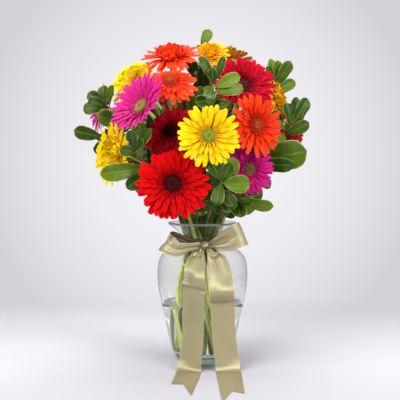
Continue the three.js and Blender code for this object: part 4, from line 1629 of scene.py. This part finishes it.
@dataclass(frozen=True)
class Filler:
    """Leaves between the heads: their count on a twig, the stretch that carries them, and their size.

    Then the room that they keep, how far they lean out, how many ways each tries, and how far their faces
    turn to the front.
    """

    count: int = 3
    start: float = 0.55
    end: float = 0.92
    length: float = 42.0
    width: float = 22.0
    room: float = 6.0
    rise: float = 0.3
    tries: int = 34
    front: float = 110.0

    def add_to(self, branch: Branch, own: int, around_it: Surroundings) -> None:
        """Gives a branch its filler leaves: each turns round the twig until it has room, or is left out.

        Args:
            branch: The branch.
            own: Which line is its twig.
            around_it: What the leaves keep clear of.
        """
        for k in range(self.count):
            root = branch.shoot_point(self.start + (self.end - self.start) * k / (self.count - 1))
            outward = unit(facing_of(root - CORE, root, self.front))
            side = unit(np.cross(outward, UP))
            other = np.cross(outward, side)
            for turn in range(self.tries):
                angle = (turn + k) * GOLDEN
                way = unit(side * math.cos(angle) + other * math.sin(angle) + outward * self.rise)
                leaf = Leaf(root, root + way * self.length, self.width, outward)
                spots = leaf.spots()
                if around_it.has_room(spots, own, self.room):
                    around_it.taken.append(spots)
                    branch.fillers.append(leaf)
                    break


FILLERS = (
    Filler(),
    Filler(12, 0.4, 0.97, 32.0, 17.0, 3.4, tries=60),
    Filler(12, 0.36, 0.95, 22.0, 12.0, 2.4, tries=80, front=460.0),
)


# Vase and water


@dataclass
class Vase:
    """The flared glass vase and the water in it, turned round the Z axis.

    Profiles are radius and height, in millimetres. The foot is the hollow under the base, and the meniscus
    is how far in from the glass the water stands how much higher.
    """

    body: Pairs = ((36, 0), (43.5, 15), (51.5, 44), (59, 78), (64.8, 110), (65.8, 130), (62, 150))
    neck: Pairs = ((50, 162), (34, 168.2), (28.5, 175), (31.5, 183), (40, 191.5), (50, 199))
    foot: Pairs = ((0, 1.6), (26, 1.4), (30, 0.5), (33, 0.0), (35.2, 0.3), (37.2, 1.8))
    foot_height: float = 3.0
    wall: float = 2.8
    floor: float = 9.0
    floor_rise: float = 0.8
    corner: float = 3.0
    base_glass: float = 1.5
    rim_glass: float = 0.6
    lip: tuple[float, float] = (0.9, 1.1)
    level: float = 84.0
    film: float = 0.25
    under: float = 0.2
    meniscus: Pairs = ((0.0, 0.5), (0.8, 0.1), (2.5, 0.0))
    sides: int = 96

    def outer(self) -> Array:
        """Gives the smooth outer profile, as radius and height."""
        return through(np.array(self.body + self.neck, dtype=float), np.linspace(0, 1, 73))

    def inner(self, offset: float) -> Array:
        """Gives the profile at a distance inside the outer one.

        Args:
            offset: The distance.

        Returns:
            Radius and height, foot first.
        """
        line = self.outer()
        way = tangents(line)
        return line + offset * np.stack([-way[:, 1], way[:, 0]], axis=-1)

    def bottom(self, radius: float, height: float) -> Array:
        """Gives the profile of an inner floor from the axis to its wall, which stands at a radius."""
        rim = height + self.floor_rise
        return np.array([(0, height), (0.6 * radius, height), (0.88 * radius, rim)])

    def shaped(self, name: str, profile: Array, *finishes: Finish) -> bpy.types.Object:
        """Makes a closed turned piece whose faces point out.

        Args:
            name: The piece's name.
            profile: The closed profile from axis to axis.
            *finishes: Its finishes.

        Returns:
            The piece.
        """
        skin = Skin()
        skin.patches(turned(profile, self.sides), ring=True)
        piece = skin.build(name, *finishes)
        work = bmesh.new()
        work.from_mesh(piece.data)
        bmesh.ops.recalc_face_normals(work, faces=work.faces)
        work.to_mesh(piece.data)
        work.free()
        return piece

    def glass(self) -> None:
        """Makes the vase, with tinted glass at its base and a pale, cloudy rim that is a painted highlight.
        """
        outer, inner = self.outer(), self.inner(self.wall)
        wall = inner[inner[:, 1] > self.floor + self.corner]
        base = self.bottom(wall[0, 0], self.floor)
        lip = (outer[-1] + inner[-1]) / 2 + np.array(self.lip)
        outer = outer[outer[:, 1] > self.foot_height]
        profile = np.vstack([self.foot, outer, [lip], wall[::-1], base[::-1]])
        piece = self.shaped("glass_vase", profile, GLASS, RIM_GLASS_PAINTED_HIGHLIGHT, BASE_GLASS)
        low = (self.floor + self.base_glass) * MM
        high = (self.neck[-1][1] - self.rim_glass) * MM
        for face in piece.data.polygons:
            face.material_index = 1 if face.center.z > high else 2 if face.center.z < low else 0
        place(piece, "glass", "vase")

    def water(self) -> None:
        """Makes the water, which rises a little where it meets the glass."""
        skin = self.inner(self.wall - self.film)
        low, high = self.floor - self.under, self.level
        side = skin[(skin[:, 1] > low + 3.2) & (skin[:, 1] < high - 1)]
        edge = np.interp(high + 1.2, skin[:, 1], skin[:, 0])
        top = [(edge - inward, high + rise) for inward, rise in self.meniscus] + [(0, high)]
        profile = np.vstack([self.bottom(side[0, 0], low), side, top])
        place(self.shaped("vase_water", profile, WATER), "water", "water")


# Ribbon


@dataclass
class RibbonRun:
    """One free stretch of the ribbon: middle points, the way its width runs and its share of the width.

    Its cut is how far the end reaches at the left edge, the middle and the right edge, and its dents are
    hollows, each as share of the length, side, their two reaches and depth in millimetres. A turned run
    has its right side on the other face. Deep and fine gathers stand where the width is drawn in.
    """

    name: str
    run: list[tuple[Point, Point, float]]
    cut: Triple = (0.0, 0.0, 0.0)
    dents: tuple[tuple[float, float, float, float, float], ...] = ()
    turned: bool = False
    pleats: float = 2.0
    phase: float = 0.0
    width: float = 34.0
    deep: float = 2.3
    fine: float = 0.9
    wavy: float = 0.6
    loop_fade: float = 0.34
    tail_fade: float = 0.14
    cut_from: float = 0.8
    above_floor: float = 0.6
    rows: int = 200
    columns: int = 33

    def middle(self) -> Array:
        """Gives the points along the ribbon's middle, a row each."""
        at = np.array([p for p, _, _ in self.run], dtype=float)
        return through(at, np.linspace(0, 1, self.rows))

    def gathers(self, share: Array, u: Array, v: Array) -> Array:
        """Gives how far the cloth stands off its run.

        Args:
            share: Its share of the width, a row each.
            u: Shares of the length, a row each.
            v: Places across, from -1 to 1.

        Returns:
            Millimetres, as row and column.
        """
        loop = not any(self.cut)
        fade = self.loop_fade if loop else self.tail_fade
        ends = np.exp(-u / fade) + (np.exp(-(1 - u) / fade) if loop else 0)
        slack = np.sqrt(np.maximum(0, 1.0 - share)) * np.minimum(1, ends)
        off = self.deep * slack * np.cos(self.pleats * np.pi * v + self.phase)
        off = off + self.fine * slack * np.cos(2.7 * self.pleats * np.pi * v + 1.4 * self.phase)
        for along_at, side, length, width, depth in self.dents:
            far = ((u - along_at) / length) ** 2 + ((v - side) / width) ** 2
            off = off - depth * np.exp(-(far**1.5))
        soft = self.wavy * np.sin(2.3 * v + 9 * u + self.phase)
        return off + soft * (1 - smooth(u * 4 - 3))

    def surface(self) -> Array:
        """Lays the ribbon along its run, with the gathers that its share of the width leaves.

        Returns:
            Points as row, column, xyz.
        """
        ways = np.array([w for _, w, _ in self.run], dtype=float)
        part = [s for _, _, s in self.run]
        u = np.linspace(0, 1, self.rows)
        v = np.linspace(-1, 1, self.columns)[None]
        middle = self.middle()
        along = tangents(middle)
        way = through(ways, u)
        way = unit(way - along * (way * along).sum(-1, keepdims=True))
        face = np.cross(along, way)
        share = np.interp(u, np.linspace(0, 1, len(part)), part)[:, None]
        u = u[:, None]
        reach = np.interp(v, [-1, 0, 1], self.cut) * smooth((u - self.cut_from) / (1 - self.cut_from))
        points = middle[:, None] + (v * share * self.width / 2)[..., None] * way[:, None]
        points = points + self.gathers(share, u, v)[..., None] * face[:, None]
        points = points + reach[..., None] * along[:, None]
        points[..., 2] = np.maximum(points[..., 2], self.above_floor)
        return points

    def length(self) -> float:
        """Gives the length of ribbon in the run, in millimetres, with its longer tip."""
        steps = np.linalg.norm(np.diff(self.middle(), axis=0), axis=1)
        return float(steps.sum()) + max(self.cut)

    def build(self, held: str, rests_on: list[str]) -> None:
        """Args:
            held: Not used.
            rests_on: Not used.
        """
        skin = Skin()
        grid = self.surface()[None]
        u = np.linspace(0, 1, self.rows)[None, :, None]
        v = np.linspace(-1, 1, self.columns)[None, None, :]
        # The grid's order puts the back face, which the satin darkens as painted shade, on the inner side.
        skin.patches(grid if self.turned else grid[:, :, ::-1], along=u, across=v)
        piece = skin.build("satin_" + self.name, SATIN)
        place(piece, "ribbon_satin", "ribbon_" + self.name)
        length = self.length()


@dataclass
class Knot:
    """The bow's knot and the band that it holds round the neck."""

    at: Point = (3.5, -45.5, 172.0)
    half: Triple = (6.5, 13.0, 4.8)
    radius: float = 32.8
    low: float = 170.8
    high: float = 179.0

    def band(self, skin: Skin) -> None:
        """Adds the band, with soft creases round it.

        Args:
            skin: The skin to add to.
        """
        turn = around(144)
        share = np.linspace(0, 1, 11)[None, :, None]
        crease = 0.35 * np.cos(9 * share + 2 * np.sin(3 * turn)) + 0.2 * np.sin(23 * turn + 7 * share)
        height = self.low + (self.high - self.low) * share + 0.5 * np.sin(5 * turn)
        grid = polar(self.radius + crease, turn, height)
        skin.patches(grid[:, ::-1], along=share, ring=True)

    def tie(self, skin: Skin) -> None:
        """Adds the knot itself, a creased roll that lies across the front.

        Args:
            skin: The skin to add to.
        """
        slope = np.linspace(0, np.pi, 25)[None, :, None]
        turn = around(64)
        crease = 1 + 0.05 * np.cos(7 * turn + 3 * np.cos(slope)) * np.sin(slope)
        ring = np.sin(slope) ** 0.75 * crease
        x = self.half[0] * np.cos(slope) * (1 + 0.06 * np.cos(3 * turn))
        y = self.half[1] * ring * np.cos(turn)
        z = self.half[2] * 1.06 * ring * np.sin(turn) + 0.08 * x
        grid = np.stack([x, y, z], axis=-1) + np.array(self.at)
        skin.patches(grid[:, ::-1], along=slope / np.pi, across=0.2 * np.cos(turn), ring=True)

    def build(self) -> None:
        """Makes the knot with its band and dresses it."""
        skin = Skin()
        self.band(skin)
        self.tie(skin)
        place(skin.build("satin_knot", SATIN), "ribbon_satin", "ribbon_knot")


# Studio


@dataclass
class Studio:
    """The floor, the light and the camera, in millimetres. A lamp has a place, a size and its watts."""

    eye: Point = (-3.5, -1102.0, 266.0)
    lens: float = 67.5
    sensor: float = 36.0
    shift: float = -0.055
    floor_half: float = 560.0
    lamps: tuple[tuple[str, Point, float, float], ...] = (
        ("key", (-700, -1000, 1000), 900, 18.0),
        ("fill", (900, -900, 700), 600, 11.5),
        ("top", (0, 100, 1400), 700, 13.0),
    )
    lamp_aim: Point = (0, 0, 240)
    glow: float = 0.42

    def build(self) -> None:
        """Makes the whole studio."""
        scene = bpy.context.scene
        scene.view_settings.view_transform = "Standard"
        data = bpy.data.cameras.new("camera")
        data.lens, data.sensor_width, data.shift_y = self.lens, self.sensor, self.shift
        data.clip_end = 100.0
        camera = bpy.data.objects.new("camera", data)
        camera.location = [c * MM for c in self.eye]
        camera.rotation_euler = (math.pi / 2, 0, 0)
        scene.collection.objects.link(camera)
        scene.camera = camera
        self.floor()
        self.lights()
        self.sky()

    def floor(self) -> None:
        """Adds the pale floor that the vase stands on."""
        skin = Skin()
        line = np.linspace(-self.floor_half, self.floor_half, 9)
        x, y = np.meshgrid(line, line)
        skin.patches(np.stack([x, y, np.full_like(x, -0.05)], axis=-1)[None])
        skin.build("floor", PALE_FLOOR)

    def lights(self) -> None:
        """Adds the soft lamps."""
        for name, at, size, power in self.lamps:
            data = bpy.data.lights.new(name, "AREA")
            data.size = size * MM
            data.energy = power
            lamp = bpy.data.objects.new(name, data)
            lamp.location = [c * MM for c in at]
            aim = Vector([c * MM for c in self.lamp_aim]) - lamp.location
            lamp.rotation_euler = aim.to_track_quat("-Z", "Y").to_euler()
            bpy.context.scene.collection.objects.link(lamp)

    def sky(self) -> None:
        """Sets the pale grey surroundings, a little lighter behind the bouquet as a painted pool of light on
        the backdrop.
        """
        world = bpy.data.worlds.new("studio")
        world.use_nodes = True
        bpy.context.scene.world = world
        nodes = Nodes(world.node_tree)
        way = nodes.add("TexCoord").outputs["Generated"]
        ahead = nodes.add("VectorMath", {0: way, 1: (0.0, 0.995, 0.03)}, operation="DOT_PRODUCT")
        # The lighter patch straight ahead is a painted pool of light on the backdrop.
        share = nodes.fit(ahead.outputs["Value"], 0.955, 1.0)
        colour = nodes.mix(share, *shades((0.83, 0.825, 0.85), (0.975, 0.97, 0.985)))
        back = world.node_tree.nodes["Background"]
        nodes.feed(back.inputs["Color"], colour)
        ray = nodes.add("LightPath").outputs
        seen = nodes.math("MAXIMUM", ray["Is Camera Ray"], ray["Is Transmission Ray"])
        nodes.feed(back.inputs["Strength"], nodes.fit(seen, 0.0, 1.0, (self.glow, 1.0)))


# The bouquet

BLOOMS: list[Bloom] = [
    Bloom("red_front", (-40, -108, 259), (-4, -3), 52, Variety.RED, press=((90, 0, 0.14),)),
    Bloom("yellow_centre", (8, -128, 321), (2, 4), 43, Variety.YELLOW),
    Bloom("burgundy", (-45, -90, 330), (-3, 4), 41, Variety.BURGUNDY, press=((138, 2, 0.36),)),
    Bloom(
        "pink_left", (-84, -100, 363), (-42, 26), 46, Variety.PINK,
        press=((-60, 0, 0.12),), cup=0.35,
    ),
    Bloom(
        "orange_top", (-46, -31, 443), (-8, 57), 43, Variety.ORANGE,
        press=((-90, 8, 0),), closed=True,
    ),
    Bloom(
        "orange_upper", (-44, -88, 400), (8, 32), 40, Variety.ORANGE,
        press=((92, 18, 0.5), (190, 7, 0.3)),
    ),
    Bloom(
        "yellow_upper_left", (-90, -45, 404), (-25, 28), 46, Variety.YELLOW,
        press=((0, 6, 0.45), (60, 8, 0.3)), closed=True,
    ),
    Bloom(
        "amber_top", (10, -14, 449), (-5, 40), 31, Variety.AMBER,
        press=((-90, 4, 0), (185, 8, 0.42)), closed=True,
    ),
    Bloom("amber_back", (49, 44, 448), (150, 58), 35, Variety.AMBER),
    Bloom(
        "crimson_upper_right", (58, -50, 398), (14, 28), 49, Variety.CRIMSON,
        press=((-90, 6, 0.3),), cup=0.1,
    ),
    Bloom("orange_right", (75, -88, 338), (36, 6), 46, Variety.ORANGE),
    Bloom("magenta_lower_right", (64, -82, 278), (16, -4), 38, Variety.MAGENTA),
    Bloom(
        "yellow_lower_left", (-122, -62, 298), (-52, 0), 46, Variety.YELLOW,
        press=((-30, 4, 0.2),), cup=0.2, closed=True,
    ),
    Bloom("pink_far_left", (-154, 4, 368), (-62, 6), 38, Variety.PINK),
    Bloom("amber_right", (112, -15, 382), (60, 10), 30, Variety.AMBER, closed=True),
    Bloom("orange_far_right", (137, 50, 350), (122, 8), 39, Variety.ORANGE, press=((110, 2, 0.2),)),
    Bloom("magenta_far_right", (128, 8, 316), (86, -4), 38, Variety.MAGENTA),
    Bloom("red_back", (0, 118, 344), (178, 12), 46, Variety.RED),
    Bloom("yellow_back", (61, 97, 275), (150, -4), 43, Variety.YELLOW),
    Bloom("orange_back", (-86, 84, 286), (216, 0), 44, Variety.ORANGE),
    Bloom("pink_back", (-78, 70, 392), (215, 36), 45, Variety.PINK),
]

BRANCHES: list[Branch] = [
    Branch(
        "front",
        (25, -110, 262),
        (0.1, -0.8, 0.6),
        (
            (1, (6, -124, 297), 21), (1, (37, -120, 286), 17), (0.97, (62, -122, 259), 25),
            (0.94, (17, -112, 230), 18),
        ),
        seed=314,
    ),
    Branch(
        "centre_top",
        (14, -86, 393),
        (0, -0.5, 0.86),
        (
            (1, (-2, -92, 430), 14), (1, (29, -92, 430), 11), (1, (12, -96, 414), 13),
            (0.98, (50, -100, 402), 19), (0.95, (54, -104, 385), 18), (0.9, (-10, -98, 367), 18),
            (0.84, (-10, -74, 390), 18), (0.87, (33, -108, 364), 14),
        ),
        seed=1134,
    ),
    Branch(
        "top",
        (-3, 34, 462),
        (0, 0.1, 1),
        (
            (1, (11, 28, 490), 18), (0.96, (-36, 40, 452), 18), (0.94, (16, 70, 466), 17),
            (0.9, (-24, 72, 444), 18),
        ),
        inner=(
            (0.6, (-40, 28, 384), 23), (0.54, (-60, 14, 374), 22), (0.64, (40, 26, 394), 24),
            (0.58, (56, 26, 377), 22), (0.74, (17, 24, 428), 21), (0.8, (-22, 24, 446), 19),
            (0.68, (-6, 22, 412), 22), (0.5, (20, 22, 368), 24), (0.72, (1, 12, 432), 20),
            (0.56, (-17, 14, 393), 22), (0.5, (43, 10, 389), 22), (0.46, (62, 8, 366), 22),
        ),
        seed=306,
    ),
    Branch(
        "right_top",
        (106, 18, 400),
        (0.4, 0, 0.9),
        (
            (1, (130, 2, 438), 20), (1, (112, 6, 440), 19), (0.98, (104, 26, 446), 17),
            (0.96, (94, -12, 428), 21), (0.94, (140, 26, 412), 18),
        ),
        seed=505,
    ),
    Branch(
        "right",
        (124, -34, 336),
        (0.7, -0.4, 0.5),
        (
            (1, (150, -32, 380), 21), (1, (118, -42, 372), 21), (0.97, (138, -18, 383), 18),
            (0.94, (150, -46, 344), 19), (0.66, (146, -50, 303), 44), (0.62, (128, -52, 284), 22),
        ),
        inner=(
            (0.7, (96, 4, 352), 24), (0.76, (112, -4, 366), 22), (0.6, (104, -8, 322), 22),
        ),
        seed=302,
    ),
    Branch(
        "right_low",
        (50, -58, 238),
        (0.6, -0.6, 0.3),
        (
            (1, (96, -82, 227), 18), (1, (72, -58, 220), 24), (0.97, (32, -64, 212), 22),
            (0.93, (63, -95, 236), 19), (0.955, (52, -72, 212), 22), (0.8, (86, -40, 246), 22),
        ),
        seed=359,
    ),
    Branch(
        "left_top",
        (-138, -34, 370),
        (-0.8, -0.3, 0.5),
        (
            (1, (-163, -38, 386), 18), (1, (-140, -34, 398), 17), (0.99, (-170, -34, 363), 21),
            (0.98, (-160, -52, 374), 17), (0.97, (-124, -62, 394), 14),
            (0.84, (-144, -70, 351), 26), (0.8, (-126, -60, 351), 20),
        ),
        inner=(
            (0.66, (-66, 2, 372), 24), (0.6, (-97, 4, 350), 24), (0.56, (-70, -6, 346), 22),
        ),
        seed=549,
    ),
    Branch(
        "left",
        (-142, -18, 325),
        (-0.9, -0.1, 0.2),
        (
            (1, (-184, -28, 334), 21), (0.95, (-158, 12, 300), 20), (0.92, (-148, 24, 334), 20),
        ),
        seed=302,
    ),
    Branch(
        "left_front",
        (-90, -98, 303),
        (-0.4, -0.6, 0.6),
        (
            (1, (-93, -127, 328), 17), (1, (-80, -119, 318), 16), (0.99, (-68, -116, 331), 15),
            (0.97, (-109, -112, 304), 16), (0.8, (-136, -104, 271), 25),
            (0.76, (-102, -92, 252), 21), (0.9, (-74, -88, 292), 19),
        ),
        seed=485,
    ),
    Branch("back_left", (-66, 104, 346), (-0.2, 0.7, 0.5), whorl=(6, 38, 20), seed=330),
    Branch("back_right", (78, 84, 340), (0.6, 0.7, 0.4), whorl=(6, 43, 21), seed=331),
]

LOOPS: list[RibbonRun] = [
    RibbonRun(
        "loop_left",
        [
            ((-3.1, -50, 170.5), (0.2, -0.3, 0.9), 0.3),
            ((-19.5, -58, 168.8), (0.3, 0, 0.95), 0.36),
            ((-35, -64, 167.5), (0.45, 0.2, 0.85), 0.62),
            ((-46, -63, 172.5), (0.58, 0.1, 0.8), 0.8),
            ((-51.5, -56, 176.8), (0.63, 0.1, 0.78), 0.86),
            ((-44, -49, 177.5), (0.58, 0.1, 0.8), 0.84),
            ((-33, -47, 175.5), (0.5, 0.1, 0.85), 0.72),
            ((-20, -45, 172.5), (0.4, 0.1, 0.9), 0.48),
            ((-3.1, -42.5, 172.5), (0.2, 0, 1), 0.25),
        ],
        turned=True,
        phase=0.6,
    ),
    RibbonRun(
        "loop_right",
        [
            ((10.5, -50, 171.5), (-0.1, -0.3, 0.9), 0.3),
            ((20, -58, 174.5), (-0.3, -0.1, 0.93), 0.56),
            ((35, -62, 179.5), (-0.4, 0, 0.92), 0.92),
            ((50, -62, 186.5), (-0.42, 0.05, 0.9), 1),
            ((57.5, -54, 189), (-0.42, 0.05, 0.9), 1),
            ((50, -48, 186), (-0.42, 0.05, 0.9), 0.96),
            ((35, -46, 180.5), (-0.38, 0.1, 0.91), 0.8),
            ((22, -44, 175), (-0.3, 0.1, 0.93), 0.55),
            ((10.4, -42.5, 172.5), (-0.1, 0, 1), 0.25),
        ],
        dents=((0.17, 0.1, 0.11, 0.34, 4.2),),
        phase=2.2,
    ),
]

TAILS: list[RibbonRun] = [
    RibbonRun(
        "tail_left",
        [
            ((-0.6, -53.2, 166.2), (0.9, -0.2, 0.3), 0.3),
            ((-6.5, -60, 159), (0.92, -0.3, 0.1), 0.62),
            ((-10.2, -67, 150), (0.9, -0.4, 0), 0.84),
            ((-11.6, -76, 138), (0.89, -0.45, 0), 0.94),
            ((-12, -80, 127.5), (0.88, -0.47, 0), 0.98),
            ((-12.2, -77.5, 119), (0.88, -0.47, 0), 1),
            ((-12.3, -71.5, 112), (0.88, -0.47, 0), 1),
            ((-12.6, -69.2, 98), (0.88, -0.47, 0), 1),
            ((-13.5, -69.4, 52), (0.88, -0.47, 0), 1),
            ((-17, -69.4, 14), (0.9, -0.42, 0), 1),
            ((-18.5, -73, 2.4), (0.97, -0.25, 0), 1),
            ((-19.5, -84, 0.5), (1, 0, 0), 1),
            ((-24.5, -132, 0.5), (1, -0.1, 0), 0.93),
        ],
        (6, 3, 54),
        dents=(
            (0.075, -0.1, 0.034, 0.62, 4.6),
            (0.33, -0.9, 0.1, 0.75, 3.6),
            (0.3, 0.45, 0.07, 0.6, -1.6),
        ),
        phase=0.9,
    ),
    RibbonRun(
        "tail_right",
        [
            ((7.9, -53.5, 165.9), (0.9, 0.2, -0.3), 0.3),
            ((15.5, -59, 159), (0.95, 0.15, -0.2), 0.66),
            ((21, -64.5, 149), (0.97, 0.2, 0), 0.88),
            ((24.4, -74, 133), (0.97, 0.22, 0), 0.98),
            ((25.8, -82, 118), (0.97, 0.22, 0), 1),
            ((26.5, -83.5, 108.5), (0.97, 0.22, 0), 1),
            ((27, -78, 100), (0.97, 0.22, 0), 1),
            ((27.2, -70.5, 93.5), (0.97, 0.22, 0), 1),
            ((27.8, -67.2, 82), (0.97, 0.22, 0), 1),
            ((29.8, -66.5, 48), (0.97, 0.22, 0), 1),
            ((34, -68, 14), (0.98, 0.15, 0), 1),
            ((35, -72, 2.4), (1, 0.05, 0), 1),
            ((35.5, -84, 0.5), (1, 0, 0), 1),
            ((36.8, -160, 0.5), (1, 0, 0), 0.86),
        ],
        (53, 8, 18),
        dents=(
            (0.07, 0.15, 0.032, 0.66, 4.6),
            (0.36, -0.95, 0.12, 0.6, 2.6),
            (0.35, 0.3, 0.07, 0.6, -1.6),
        ),
        phase=2.9,
    ),
]


def build_flowers() -> None:
    """Makes every bloom with its stem, and every branch."""
    stem, twig, gap, cup, first_seed = 2.7, 1.9, 0.3, 9.0, 11
    ways = np.array([b.normal() for b in BLOOMS] + [b.way() for b in BRANCHES])
    back = [b.depth + gap + cup for b in BLOOMS] + [0.0] * len(BRANCHES)
    tips = [b.at for b in BLOOMS] + [b.tip for b in BRANCHES]
    ends = np.array(tips, dtype=float) - ways * np.array(back)[:, None]
    radii = np.array([stem] * len(BLOOMS) + [twig] * len(BRANCHES))
    lower, lines = StemLines().lines(ends, ways, radii)
    for i, bloom in enumerate(BLOOMS):
        bloom.seed = first_seed + i
        bloom.build()
        Stem(bloom, lower[i], lines[i]).build()
    for i, branch in enumerate(BRANCHES, start=len(BLOOMS)):
        branch.lower, branch.line = lower[i], lines[i]
    listed = [leaf for branch in BRANCHES for leaf in branch.own_leaves() + branch.inner_leaves()]
    around_them = Surroundings(lines, radii, BLOOMS, [leaf.spots() for leaf in listed])
    for filler in FILLERS:
        for i, branch in enumerate(BRANCHES, start=len(BLOOMS)):
            filler.add_to(branch, i, around_them)
    log.info("filler leaves: %s", [len(branch.fillers) for branch in BRANCHES])
    for branch in BRANCHES:
        branch.build()


def main() -> None:
    """Builds the bouquet, its vase and the studio."""
    logging.basicConfig(level=logging.INFO, format="%(name)s %(message)s")
    vase = Vase()
    vase.glass()
    vase.water()
    Knot().build()
    for loop in LOOPS:
        loop.build("gathered", ["satin_knot"])
    for tail in TAILS:
        tail.build("hung", ["satin_knot", "glass_vase"])
    build_flowers()
    Studio().build()


if __name__ == "__main__":
    main()
